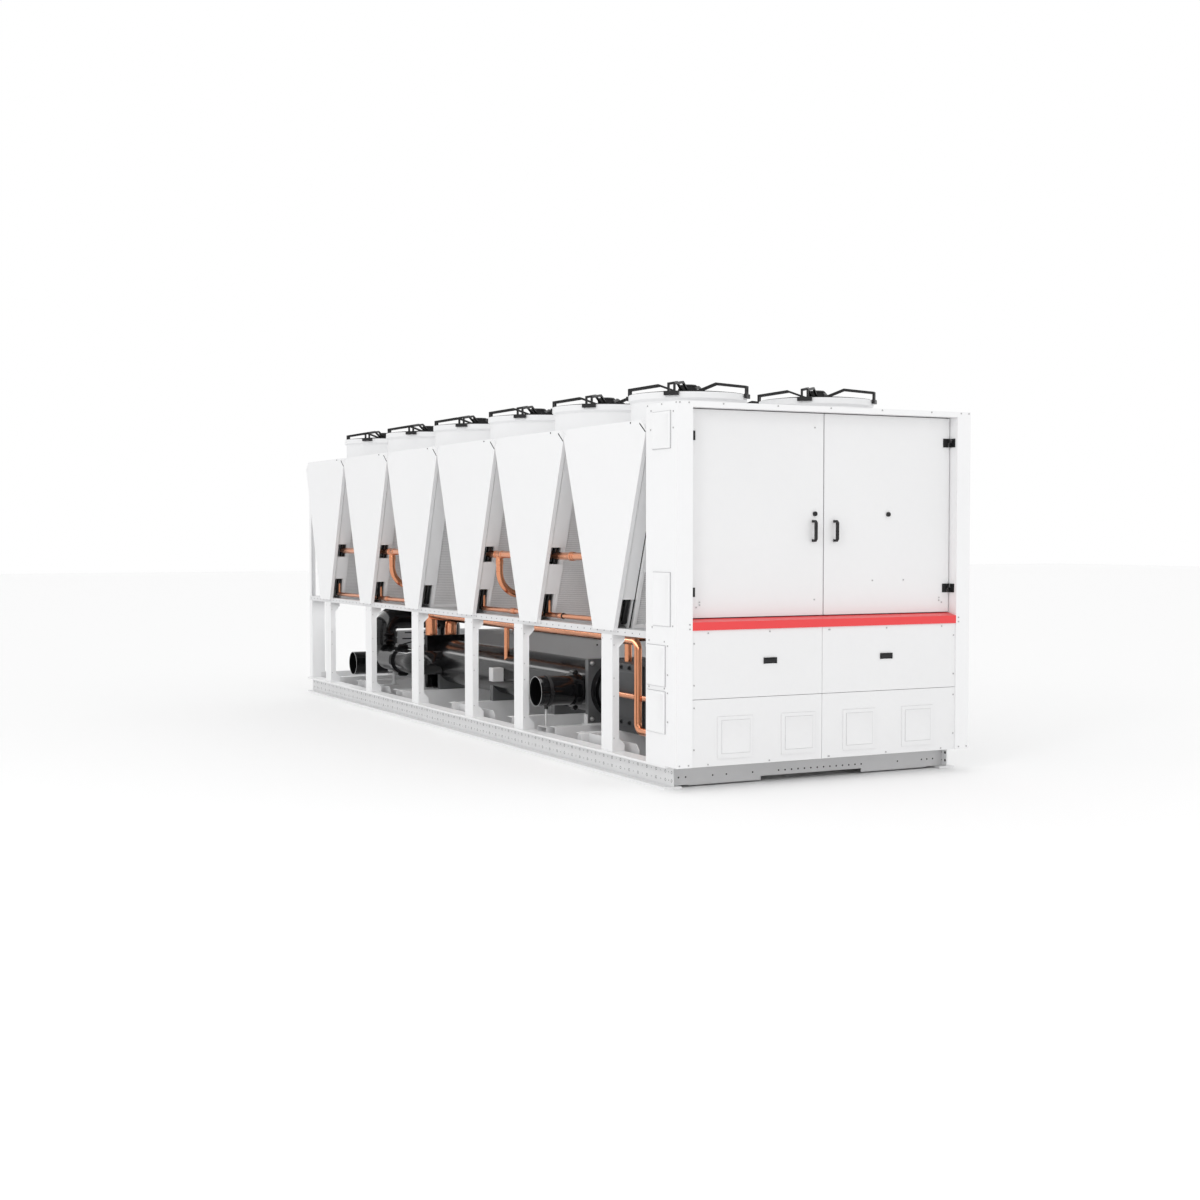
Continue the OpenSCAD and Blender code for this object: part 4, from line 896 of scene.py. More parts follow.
@dataclass
class CondenserModules:
    """Leaning coils with their tubes, end strips, headers, covers and wedge panels."""

    unit: Unit
    tube_pitch: float = 0.014
    tube_h: float = 0.003
    tube_proud: float = 0.002
    strip_w: float = 0.034
    strip_proud: float = 0.004
    strip_rise: float = 0.002
    strip_steps: tuple[Step, ...] = ((0.004, 0.0), (0.001, -0.002))
    strip_edge: float = 0.0012
    foot_h: float = 0.034
    head_h: float = 0.03
    header_r: float = 0.024
    header_in: float = 0.059
    header_rise: float = 0.030
    header_drop: float = 0.02
    header_sides: int = 16
    header_edge: float = 0.008
    baffle_proud: float = 0.012
    baffle_y: float = -0.990
    baffle_rise: float = 0.004
    baffle_edge: float = 0.001
    groove_y: tuple[float, float] = (-1.006, -1.000)
    groove_proud: float = 0.011
    groove_sunk: Step = (0.001, -0.001)
    window_y: float = -0.962
    window_z: tuple[float, float] = (1.010, 1.357)
    plain_covers: tuple[int, ...] = (2, 5)
    cover_proud: float = 0.006
    cover_w: float = 0.114
    screw_in: float = 0.016
    slot_l: float = 0.100
    slot_w: float = 0.009
    slot_h: float = 0.0008
    slot_edge: float = 0.002
    slot_sunk: Step = (0.001, -0.0005)
    slot_in: tuple[float, float] = (0.046, 0.050)
    slot_turn: float = 36.0
    panel_half: float = 0.5975
    panel_screw_in: tuple[float, float] = (0.206, 0.012)

    def build(self) -> None:
        """Dresses the modules' solids and adds their tubes, strips, headers and screws."""
        dress(Look.COIL, "condenser_coils")
        dress(Look.LIGHT, "coil_beams")
        dress(Look.WHITE, "side_panels", "header_covers")
        self.flat_tubes()
        self.end_strips()
        self.headers()
        self.end_baffle()
        self.cover_screws()
        self.panel_slots()

    def _slab(self, height: float) -> float:
        """Returns the middle of a coil's thickness at a height."""
        return self.unit.face(height) - self.unit.coil_thick / math.cos(self.unit.lean) / 2

    def _mirrored(self, index: int, side: float) -> Matrix:
        """Returns the place of a shape that is modelled on the front coil of a module at the origin."""
        return Matrix.Translation((self.unit.module_x(index), 0, 0)) @ Matrix.Diagonal((side, 1, 1, 1))

    def _every_coil(self) -> list[Matrix]:
        """Returns the place of a shape that every coil has."""
        return [self._mirrored(index, side) for index, side in self.unit.coils()]

    def _leaning_bar(self, y0: float, y1: float, z0: float, z1: float, proud: float) -> bpy.types.Object:
        """Models a bar as thick as a coil between two heights of the front coil at the origin.

        Args:
            y0: near end across the unit.
            y1: far end across the unit.
            z0: lower height.
            z1: upper height.
            proud: how far it stands out of both coil faces.

        Returns:
            The leaning bar.
        """
        low, high = Vector((self._slab(z0), 0, z0)), Vector((self._slab(z1), 0, z1))
        half = self.unit.coil_thick / 2 + proud
        bar = block((-half, y0, 0), (half, y1, (high - low).length))
        bar.data.transform(Matrix.Translation(low) @ Matrix.Rotation(self.unit.lean, 4, "Y"))
        return bar

    def flat_tubes(self) -> None:
        """Adds the flat tubes that cross the faces of every coil."""
        near, far, z0 = self.unit.coil_near, self.unit.coil_far, self.unit.mid_top + self.tube_pitch
        bar = self._leaning_bar(near, far, z0, z0 + self.tube_h, self.tube_proud)
        count = int((self.unit.coil_top - z0) / self.tube_pitch)
        step = (self.unit.slope * self.tube_pitch, 0, self.tube_pitch)
        apply_modifier(bar, "ARRAY", count=count, use_relative_offset=False, use_constant_offset=True,
                       constant_offset_displace=step)
        finish(spread(bar, self._every_coil()), "coil_flat_tubes", Look.TUBE)

    def end_strips(self) -> None:
        """Adds the frame strip beside the headers and the foot and head channels of every coil."""
        near, far, proud = self.unit.coil_near, self.unit.coil_far, self.strip_proud
        low, top = self.unit.mid_top + self.strip_rise, self.unit.coil_top
        upright = self._leaning_bar(near - self.strip_w, near, low, top, proud)
        outward = (math.cos(self.unit.lean), 0, -math.sin(self.unit.lean))
        step_faces(upright, toward(outward), *self.strip_steps)
        foot = self._leaning_bar(near, far, low, self.unit.mid_top + self.foot_h, proud)
        head = self._leaning_bar(near, far, top - self.head_h, top, proud)
        shape = soften(join([upright, foot, head]), self.strip_edge, 1)
        finish(spread(shape, self._every_coil()), "coil_frames", Look.WHITE)

    def headers(self) -> None:
        """Adds the header tube behind the covers of every coil, with rounded ends."""
        y = self.unit.coil_near - self.header_in
        z0, z1 = self.unit.mid_top + self.header_rise, self.unit.coil_top - self.header_drop
        tube = rod((self._slab(z0), y, z0), (self._slab(z1), y, z1), self.header_r, self.header_sides)
        finish(spread(soften(tube, self.header_edge), self._every_coil()), "coil_headers", Look.GLOSS)

    def end_baffle(self) -> None:
        """Adds the white sheet with a window that frames the last coil before the cabinet, and its groove."""
        low, high = self.window_z
        far, foot, top = self.unit.coil_far, self.unit.mid_top + self.baffle_rise, self.unit.coil_top
        near_window, far_window = self.window_y, -self.window_y
        borders = ((self.baffle_y, far, foot, low), (self.baffle_y, far, high, top),
                   (self.baffle_y, near_window, low, high), (far_window, far, low, high))
        sheet = join([self._leaning_bar(*border, self.baffle_proud) for border in borders])
        groove = self._leaning_bar(*self.groove_y, foot, top, self.groove_proud)
        step_faces(groove, toward((1, 0, -self.unit.slope)), self.groove_sunk)
        last = self._mirrored(MODULES - 1, 1.0)
        finish(spread(soften(sheet, self.baffle_edge, 1), [last]), "end_coil_baffle", Look.WHITE)
        finish(spread(groove, [last]), "end_coil_groove", Look.SHADOW)

    def cover_screws(self) -> None:
        """Adds a screw near each corner of every header cover."""
        near, top, foot = self.unit.coil_near, self.unit.coil_top, self.unit.cover_foot
        ends = (near - self.screw_in, near - self.cover_w + self.screw_in)
        low, high = self.unit.cover_gap
        places = []
        for index, side in self.unit.coils():
            runs = [(foot, top)] if index in self.plain_covers else [(foot, low), (high, top)]
            normal = (side * math.cos(self.unit.lean), 0, -math.sin(self.unit.lean))
            for z in [z for run in runs for z in (run[0] + self.screw_in, run[1] - self.screw_in)]:
                x = self.unit.module_x(index) + side * (self.unit.face(z) + self.cover_proud)
                places += [facing((x, y, z), normal) for y in ends]
        finish(spread(PAN_SCREW.model(), places), "header_cover_screws", Look.ZINC)

    def panel_slots(self) -> None:
        """Adds the slanted slot and the screw at the front upper corner of every wedge panel."""
        half_l, half_w = self.slot_l / 2, self.slot_w / 2
        slot = block((-half_l, -half_w, 0), (half_l, half_w, self.slot_h))
        step_faces(soften(slot, self.slot_edge), toward(UP), self.slot_sunk)
        slant = Matrix.Rotation(-math.radians(self.slot_turn), 4, "Z")
        slots, screws = [], []
        for index in range(MODULES):
            corner = self.unit.module_x(index) + self.panel_half
            for side in SIDES:
                marks = [facing((corner - back, side * self.unit.side, self.unit.deck - drop), (0, side, 0))
                         for back, drop in (self.slot_in, self.panel_screw_in)]
                slots.append(marks[0] @ slant)
                screws.append(marks[1])
        finish(spread(slot, slots), "wedge_panel_slots", Look.SHADOW)
        finish(spread(PAN_SCREW.model(), screws), "wedge_panel_screws", Look.IRON)


@dataclass
class FanDeck:
    """Fan rings with their wire guards, motors, arms and rotors."""

    unit: Unit
    guard_rings: int = 8
    guard_in_r: float = 0.085
    guard_clear: float = 0.012
    guard_rise: float = 0.020
    knee_share: float = 0.82
    wire: float = 0.0022
    wire_sides: int = 6
    spokes: int = 12
    deck_screw_in: float = 0.03
    deck_shares_x: tuple[float, ...] = (-1, -0.5, 0, 0.5, 1)
    deck_shares_y: tuple[float, ...] = (-1, -0.33, 0.33, 1)

    def build(self) -> None:
        """Dresses the fans' solids and adds their guards and the deck's screws."""
        dress(Look.WHITE, "fan_deck", "near_fan_rings", "far_fan_rings")
        dress(Look.PLASTIC, "fan_motors", "fan_supports")
        dress(Look.FAN, *[f"fan_rotor_{n}" for n in range(1, 2 * MODULES + 1)])
        self.guards()
        self.deck_screws()

    def _guard(self) -> bpy.types.Object:
        """Models one wire guard of rings and bent spokes.

        Returns:
            The guard at the origin.
        """
        in_r, out_r = self.guard_in_r, self.unit.rim_r - self.guard_clear
        wires = []
        for i in range(self.guard_rings):
            share = i / (self.guard_rings - 1)
            height = self.wire + self.guard_rise * (1 - share * share)
            wires.append(hoop((0, 0, height), in_r + (out_r - in_r) * share, self.wire))
        for i in range(self.spokes):
            angle = math.tau * (i + 0.5) / self.spokes
            way = Vector((math.cos(angle), math.sin(angle), 0))
            start = way * in_r + Vector((0, 0, self.guard_rise + self.wire))
            knee = way * (in_r + out_r) / 2 + Vector((0, 0, self.guard_rise * self.knee_share))
            end = way * out_r + Vector((0, 0, self.wire))
            wires += [rod(*run, self.wire, self.wire_sides) for run in ((start, knee), (knee, end))]
        return join(wires)

    def guards(self) -> None:
        """Adds a wire guard over every fan."""
        guard = self._guard()
        for name, side in (("near_fan_guards", -1), ("far_fan_guards", 1)):
            copy = guard.copy()
            copy.data = guard.data.copy()
            bpy.context.collection.objects.link(copy)
            places = [Matrix.Translation(fan) for fan in self.unit.fans() if fan.y * side > 0]
            finish(spread(copy, places), name, Look.PLASTIC)
        bpy.data.objects.remove(guard)

    def deck_screws(self) -> None:
        """Adds the screws round the edge of each deck plate."""
        reach_x = self.unit.pitch / 2 - self.deck_screw_in
        reach_y = self.unit.frame_y - self.deck_screw_in
        around = [(x * reach_x, y * reach_y) for x in self.deck_shares_x for y in self.deck_shares_y
                  if abs(x) == 1 or abs(y) == 1]
        places = [Matrix.Translation((self.unit.module_x(i) + x, y, self.unit.deck))
                  for i in range(MODULES) for x, y in around]
        finish(spread(PAN_SCREW.model(), places), "deck_screws", Look.ZINC)


@dataclass
class Cabinet:
    """Electrical cabinet with its doors, sill, lower panels and side covers."""

    unit: Unit
    door_x: float = 3.722
    lower_x: float = 3.792
    roof_z: float = 2.400
    left_marks: tuple[Step, ...] = (
        (0.071, 2.279), (0.927, 1.170), (0.927, 1.153), (0.950, 1.139), (0.070, 1.173))
    right_marks: tuple[Step, ...] = (
        (0.387, 1.291), (0.638, 1.292), (0.934, 1.169), (0.934, 1.152), (0.956, 1.138))
    corner_marks: tuple[Step, ...] = ((1.040, 1.037), (1.040, 1.0085), (1.048, 0.166), (1.113, 0.166))
    lower_row: tuple[float, ...] = (0.003, 0.453, 0.904)
    lower_heights: tuple[float, float] = (0.981, 0.163)
    edge_heights: tuple[float, ...] = (0.918, 0.659, 0.519, 0.259)
    edge_y: float = 1.005
    roof_row: tuple[float, ...] = (0.0, 0.402, 0.803, 1.049, 1.114)
    roof_side_row: tuple[float, ...] = (3.42, 3.603, 3.785)
    side_covers: tuple[tuple[float, float, float, float], ...] = (
        (3.488, 3.717, 2.125, 2.353), (3.496, 3.717, 1.024, 1.356), (3.422, 3.654, 0.646, 0.900),
        (3.422, 3.654, 0.352, 0.613))
    side_marks: tuple[Step, ...] = (
        (3.466, 2.366), (3.462, 2.247), (3.750, 2.348), (3.750, 2.247), (3.484, 1.010), (3.748, 1.027),
        (3.443, 0.926), (3.641, 0.926), (3.682, 0.901), (3.683, 0.721), (3.444, 0.633), (3.641, 0.633),
        (3.683, 0.608), (3.684, 0.428))
    cover_t: float = 0.010
    cover_steps: tuple[Step, ...] = ((0.004, 0.0015), (0.010, 0.0), (0.003, -0.0015))
    cover_edge: float = 0.0012
    # Width and depth of the grey rims that paint the shade round the edges of the side and entry covers.
    shade_rim_w: float = 0.003
    shade_rim_t: float = 0.002
    entry_in: float = 0.022
    entry_spans: tuple[Step, ...] = ((-0.829, -0.580), (-0.358, -0.108), (0.113, 0.361), (0.584, 0.833))
    entry_z: tuple[float, float] = (0.205, 0.455)
    entry_steps: tuple[Step, ...] = ((0.004, 0.0), (0.0015, -0.0008))
    ridge_t: float = 0.003
    ridge_edge: float = 0.0005
    # Width and depth of the grey rim of painted shade round the raised square.
    ridge_shade_rim_w: float = 0.0025
    ridge_shade_rim_t: float = 0.001
    pull_y: float = 0.4515
    tray_half: float = 0.040
    tray_t: float = 0.0015
    tray_in: float = 0.007
    tray_steps: tuple[Step, ...] = ((0.003, 0.0), (0.002, -0.001))

    def build(self) -> None:
        """Dresses the cabinet's solids and adds its covers, ridges, screws and finger trays."""
        dress(Look.WHITE, "cabinet_sides", "cabinet_back", "cabinet_floor", "cabinet_roof")
        dress(Look.DOOR, "door_left", "door_right", "lower_panels", "cable_entry_covers")
        dress(Look.RED, "cabinet_sill")
        dress(Look.PLASTIC, "panel_pulls", "frame_hinges", "door_left_fittings", "door_right_fittings")
        self.raised_covers()
        self.entry_ridges()
        self.frame_screws()
        self.door_screws()
        self.finger_trays()

    def raised_covers(self) -> None:
        """Adds the embossed covers on both side faces, each on a grey rim that paints the shade round its
        edges.
        """
        covers, shade_rims = [], []
        rim = self.shade_rim_w
        for x0, x1, z0, z1 in self.side_covers:
            for side in SIDES:
                face = side * self.unit.side
                seat = face + side * self.shade_rim_t
                y0, y1 = sorted((seat, face + side * self.cover_t))
                cover = block((x0, y0, z0), (x1, y1, z1))
                covers.append(step_faces(cover, toward((0, side, 0)), *self.cover_steps))
                y0, y1 = sorted((face, seat))
                # A grey rim a little wider than the cover: painted shade round its edges.
                shade_rim = block((x0 - rim, y0, z0 - rim), (x1 + rim, y1, z1 + rim))
                shade_rims.append(step_faces(shade_rim, toward((0, side, 0)), (rim / 2, 0.0)))
        finish(soften(join(covers), self.cover_edge), "side_face_covers", Look.WHITE)
        finish(join(shade_rims), "side_cover_gaskets", Look.GREY)

    def entry_ridges(self) -> None:
        """Adds the raised square on each cable entry cover, with a grey rim of painted shade round it and
        round the cover.
        """
        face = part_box("cable_entry_covers")[1].x
        ridges, shade_rims = [], []
        # The two lower plates show as grey outlines round the cover and round the square: painted shade along
        # their edges.
        plates = ((-self.shade_rim_w, self.lower_x, self.shade_rim_t, shade_rims),
                  (self.entry_in - self.ridge_shade_rim_w, face, self.ridge_shade_rim_t, shade_rims),
                  (self.entry_in, face, self.ridge_t, ridges))
        for y0, y1 in self.entry_spans:
            for inset, x, thick, group in plates:
                z0, z1 = self.entry_z[0] + inset, self.entry_z[1] - inset
                plate = block((x, y0 + inset, z0), (x + thick, y1 - inset, z1))
                group.append(step_faces(plate, toward(AHEAD), *self.entry_steps))
        finish(soften(join(ridges), self.ridge_edge, 1), "entry_cover_ridges", Look.DOOR)
        finish(join(shade_rims), "entry_cover_gaskets", Look.LIGHT)

    def frame_screws(self) -> None:
        """Adds the screws of the corner posts, lower panels, roof and side faces."""
        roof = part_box("cabinet_roof")[1]
        lower = {(side * y, z) for y in self.lower_row for z in self.lower_heights for side in SIDES}
        lower |= {(side * self.edge_y, z) for z in self.edge_heights for side in SIDES}
        front = [(self.unit.front, side * y, z) for y, z in self.corner_marks for side in SIDES]
        front += [(self.lower_x, y, z) for y, z in sorted(lower)]
        roof_y = sorted({side * y for y in self.roof_row for side in SIDES})
        front += [(roof.x, y, self.roof_z) for y in roof_y]
        places = [facing(point, AHEAD) for point in front]
        flanks = [(x, roof.y, self.roof_z) for x in self.roof_side_row]
        flanks += [(x, self.unit.side, z) for x, z in self.side_marks]
        places += [facing((x, side * y, z), (0, side, 0)) for x, y, z in flanks for side in SIDES]
        finish(spread(PAN_SCREW.model(), places), "cabinet_screws", Look.ZINC)

    def door_screws(self) -> None:
        """Adds the screws of both doors."""
        for hand, way, marks in (("left", -1, self.left_marks), ("right", 1, self.right_marks)):
            places = [facing((self.door_x, way * y, z), AHEAD) for y, z in marks]
            finish(spread(PAN_SCREW.model(), places), f"{hand}_door_screws", Look.ZINC, f"door_{hand}")

    def finger_trays(self) -> None:
        """Adds the finger recess in each black pull of the lower panels."""
        low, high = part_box("panel_pulls")
        trays = []
        for side in SIDES:
            middle = side * self.pull_y
            tray = block((high.x - self.tray_t, middle - self.tray_half, low.z + self.tray_in),
                         (high.x, middle + self.tray_half, high.z - self.tray_in))
            trays.append(step_faces(tray, toward(AHEAD), *self.tray_steps))
        finish(join(trays), "pull_finger_trays", Look.SHADOW)


@dataclass
class Evaporator:
    """Lagged shell with its tube plates, water head and bolts."""

    unit: Unit
    axis_y: float = -0.485
    axis_z: float = 0.445
    plate_half: float = 0.235
    plate_in: float = 0.030
    plate_t: float = 0.050
    lagging_t: float = 0.003
    lagging_steps: tuple[Step, ...] = ((0.012, 0.0), (0.002, -0.001))
    lagging_edge: float = 0.006
    foot_t: float = 0.010
    foot_back: float = 0.065
    foot_out: float = 0.090
    foot_wide: float = 0.018
    foot_step: Step = (0.004, 0.0)
    foot_edge: float = 0.002
    foot_seat: float = 0.0005
    foot_rise: float = 0.065
    foot_end_x: tuple[float, float] = (-0.053, 0.003)
    foot_end_y: tuple[float, float] = (0.003, 0.013)
    foot_end_step: Step = (0.006, 0.001)
    cover_r: float = 0.190
    cover_bolt_in: float = 0.024
    cover_bolts: int = 12
    lid_in: float = 0.001
    lid_t: float = 0.002
    lid_step: Step = (0.008, 0.001)
    lid_edge: float = 0.001
    lid_screw_in: float = 0.014

    def build(self) -> None:
        """Dresses the evaporator's solids and adds its lagging, foot, bolts and box lid."""
        dress(Look.LAGGING, "evaporator_shell", "evaporator_heads")
        # The feet take the dark tube plate paint so that they sink into the shade under the shell: painted
        # shade on the feet, while the end plates' dark grey is their own.
        dress(Look.PLATE, "evaporator_feet", "evaporator_ends")
        dress(Look.IRON, "head_cover")
        dress(Look.LIGHT, "junction_box")
        self.rear_plate_lagging()
        self.front_plate_foot()
        self.plate_bolts()
        self.box_lid()

    def _round(self, x: float, radius: float, count: int) -> list[Matrix]:
        """Places bolts in a circle on a plane that looks along the unit.

        Args:
            x: where the plane stands along the unit.
            radius: radius of the circle.
            count: number of bolts.

        Returns:
            The place of each bolt.
        """
        turns = [math.tau * (i + 0.5) / count for i in range(count)]
        return [facing((x, self.axis_y + radius * math.cos(t), self.axis_z + radius * math.sin(t)), AHEAD)
                for t in turns]

    def rear_plate_lagging(self) -> None:
        """Adds the lagging that wraps the rear tube plate, with a stepped front face."""
        low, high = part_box("evaporator_ends")
        skin = self.lagging_t
        wrap = block((low.x - skin, low.y - skin, low.z),
                     (low.x + self.plate_t + skin, high.y + skin, high.z + skin))
        step_faces(wrap, toward(AHEAD), *self.lagging_steps)
        finish(soften(wrap, self.lagging_edge), "rear_plate_lagging", Look.LAGGING)

    def front_plate_foot(self) -> None:
        """Adds the angle that holds the foot of the front tube plate, with raised ends."""
        low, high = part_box("evaporator_ends")
        seat = low.z - self.foot_seat
        base = block((high.x - self.foot_back, low.y - self.foot_wide, low.z - self.foot_t),
                     (high.x + self.foot_out, high.y + self.foot_wide, seat))
        pieces = [step_faces(base, toward(UP), self.foot_step)]
        x0, x1 = [high.x + shift for shift in self.foot_end_x]
        for side, y in ((-1, low.y), (1, high.y)):
            y0, y1 = sorted(y + side * out for out in self.foot_end_y)
            end = block((x0, y0, seat), (x1, y1, low.z + self.foot_rise))
            pieces.append(step_faces(end, toward((0, side, 0)), self.foot_end_step))
        finish(soften(join(pieces), self.foot_edge), "front_plate_foot", Look.LIGHT)

    def plate_bolts(self) -> None:
        """Adds the bolts of the water head and the corner bolts of the front tube plate."""
        rim = self._round(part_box("head_cover")[1].x, self.cover_r - self.cover_bolt_in, self.cover_bolts)
        reach = self.plate_half - self.plate_in
        plate_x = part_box("evaporator_ends")[1].x
        corners = [facing((plate_x, self.axis_y + a * reach, self.axis_z + b * reach), AHEAD)
                   for a in SIDES for b in SIDES]
        finish(spread(LARGE_BOLT.model(), rim), "water_head_bolts", Look.PLASTIC)
        finish(spread(HEX_BOLT.model(), corners), "tube_plate_bolts", Look.ZINC)

    def box_lid(self) -> None:
        """Adds the lid and screws of the junction box on the shell."""
        low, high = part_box("junction_box")
        face, edge, mark = low.y - self.lid_t, self.lid_in, self.lid_screw_in
        lid = block((low.x + edge, face, low.z + edge), (high.x - edge, low.y, high.z - edge))
        step_faces(lid, toward(NEAR), self.lid_step)
        finish(soften(lid, self.lid_edge), "junction_box_lid", Look.LIGHT)
        places = [facing((x, face, z), NEAR) for x in (low.x + mark, high.x - mark)
                  for z in (low.z + mark, high.z - mark)]
        finish(spread(SMALL_SCREW.model(), places), "junction_box_screws", Look.ZINC)


Coupling = tuple[Point, Point, Point]


@dataclass
class WaterPipes:
    """Black water pipes with their grooved couplings and supports."""

    unit: Unit
    lug_out: float = 0.1275
    lug_half: float = 0.031
    couplings: tuple[Coupling, ...] = (
        ((1.600, -0.760, 0.445), (0, 0, 1), (1, 0, 0)), ((-1.775, -0.850, 0.445), (0, 0, 1), (0, 1, 0)),
        ((-2.270, -0.850, 0.600), (1, 0, 0), (0, 1, 0)), ((-2.270, -0.850, 0.660), (1, 0, 0), (0, 1, 0)),
        ((-2.750, -0.355, 0.356), (0, 0, 1), (1, 0, 0)))
    ear: tuple[float, float, float] = (1.600, -0.985, 0.445)
    ear_out: float = 0.1255
    ear_half: float = 0.008
    mouths: tuple[Point, ...] = ((1.600, -1.070, 0.445), (-2.750, -1.000, 0.356))
    mouth_r: float = 0.1095
    rim_wire: float = 0.0016
    rim_sides: tuple[int, int] = (64, 8)
    prop_at: tuple[float, float] = (-2.010, -0.850)
    prop_r: float = 0.014
    prop_sides: int = 16
    prop_z: tuple[float, float] = (0.200, 0.337)
    prop_edge: float = 0.0015
    prop_foot_half: float = 0.04
    prop_foot_y: tuple[float, float] = (-0.958, -0.815)
    prop_foot_t: float = 0.006
    prop_foot_step: Step = (0.004, 0.0006)
    nut_share: float = 1.8
    nut_sides: int = 6
    nut_h: float = 0.018
    nut_step: Step = (0.003, 0.002)
    saddle_half: tuple[float, float] = (0.03, 0.05)
    saddle_z: tuple[float, float] = (-0.012, 0.004)

    def build(self) -> None:
        """Dresses the pipes' solids and adds the couplings' bolts, the end rims and the prop."""
        dress(Look.GLOSS, "water_pipes", "water_connections", "pipe_couplings")
        dress(Look.PLASTIC, "pipe_clamp")
        dress(Look.LIGHT, "pipe_support")
        self.bolts()
        self.end_rims()
        self.prop()

    def bolts(self) -> None:
        """Adds a bolt head or nut at each end of every coupling lug and clamp ear."""
        places = []
        for middle, lug, bolt in self.couplings:
            for side in SIDES:
                ear = Vector(middle) + Vector(lug) * side * self.lug_out
                ways = [Vector(bolt) * end for end in SIDES]
                places += [facing(ear + way * self.lug_half, way) for way in ways]
        finish(spread(HEX_BOLT.model(), places), "coupling_bolts", Look.GLOSS)
        x, y, z = self.ear
        ears = [facing((x + side * self.ear_out, y, z + end * self.ear_half), (0, 0, end))
                for side in SIDES for end in SIDES]
        finish(spread(CLAMP_BOLT.model(), ears), "clamp_bolts", Look.PLASTIC)

    def end_rims(self) -> None:
        """Adds the bare rounded rim at both open pipe ends."""
        rim = hoop((0, 0, 0), self.mouth_r - self.rim_wire, self.rim_wire, *self.rim_sides)
        finish(spread(rim, [facing(mouth, NEAR) for mouth in self.mouths]), "pipe_end_rims", Look.ZINC)

    def prop(self) -> None:
        """Adds the rod that props up the low run, with its saddle, nut and foot on the side plate."""
        x, y = self.prop_at
        low, high = self.prop_z
        top = low + self.prop_foot_t
        foot_y0, foot_y1 = self.prop_foot_y
        foot = block((x - self.prop_foot_half, foot_y0, low), (x + self.prop_foot_half, foot_y1, top))
        step_faces(foot, toward(UP), self.prop_foot_step)
        shaft = rod((x, y, top), (x, y, high), self.prop_r, self.prop_sides)
        nut = rod((x, y, top), (x, y, top + self.nut_h), self.prop_r * self.nut_share, self.nut_sides)
        step_faces(nut, toward(UP), self.nut_step)
        half_x, half_y = self.saddle_half
        under, over = self.saddle_z
        saddle = block((x - half_x, y - half_y, high + under), (x + half_x, y + half_y, high + over))
        shape = join([foot, shaft, nut, saddle])
        finish(soften(shape, self.prop_edge), "low_run_prop", Look.LIGHT)


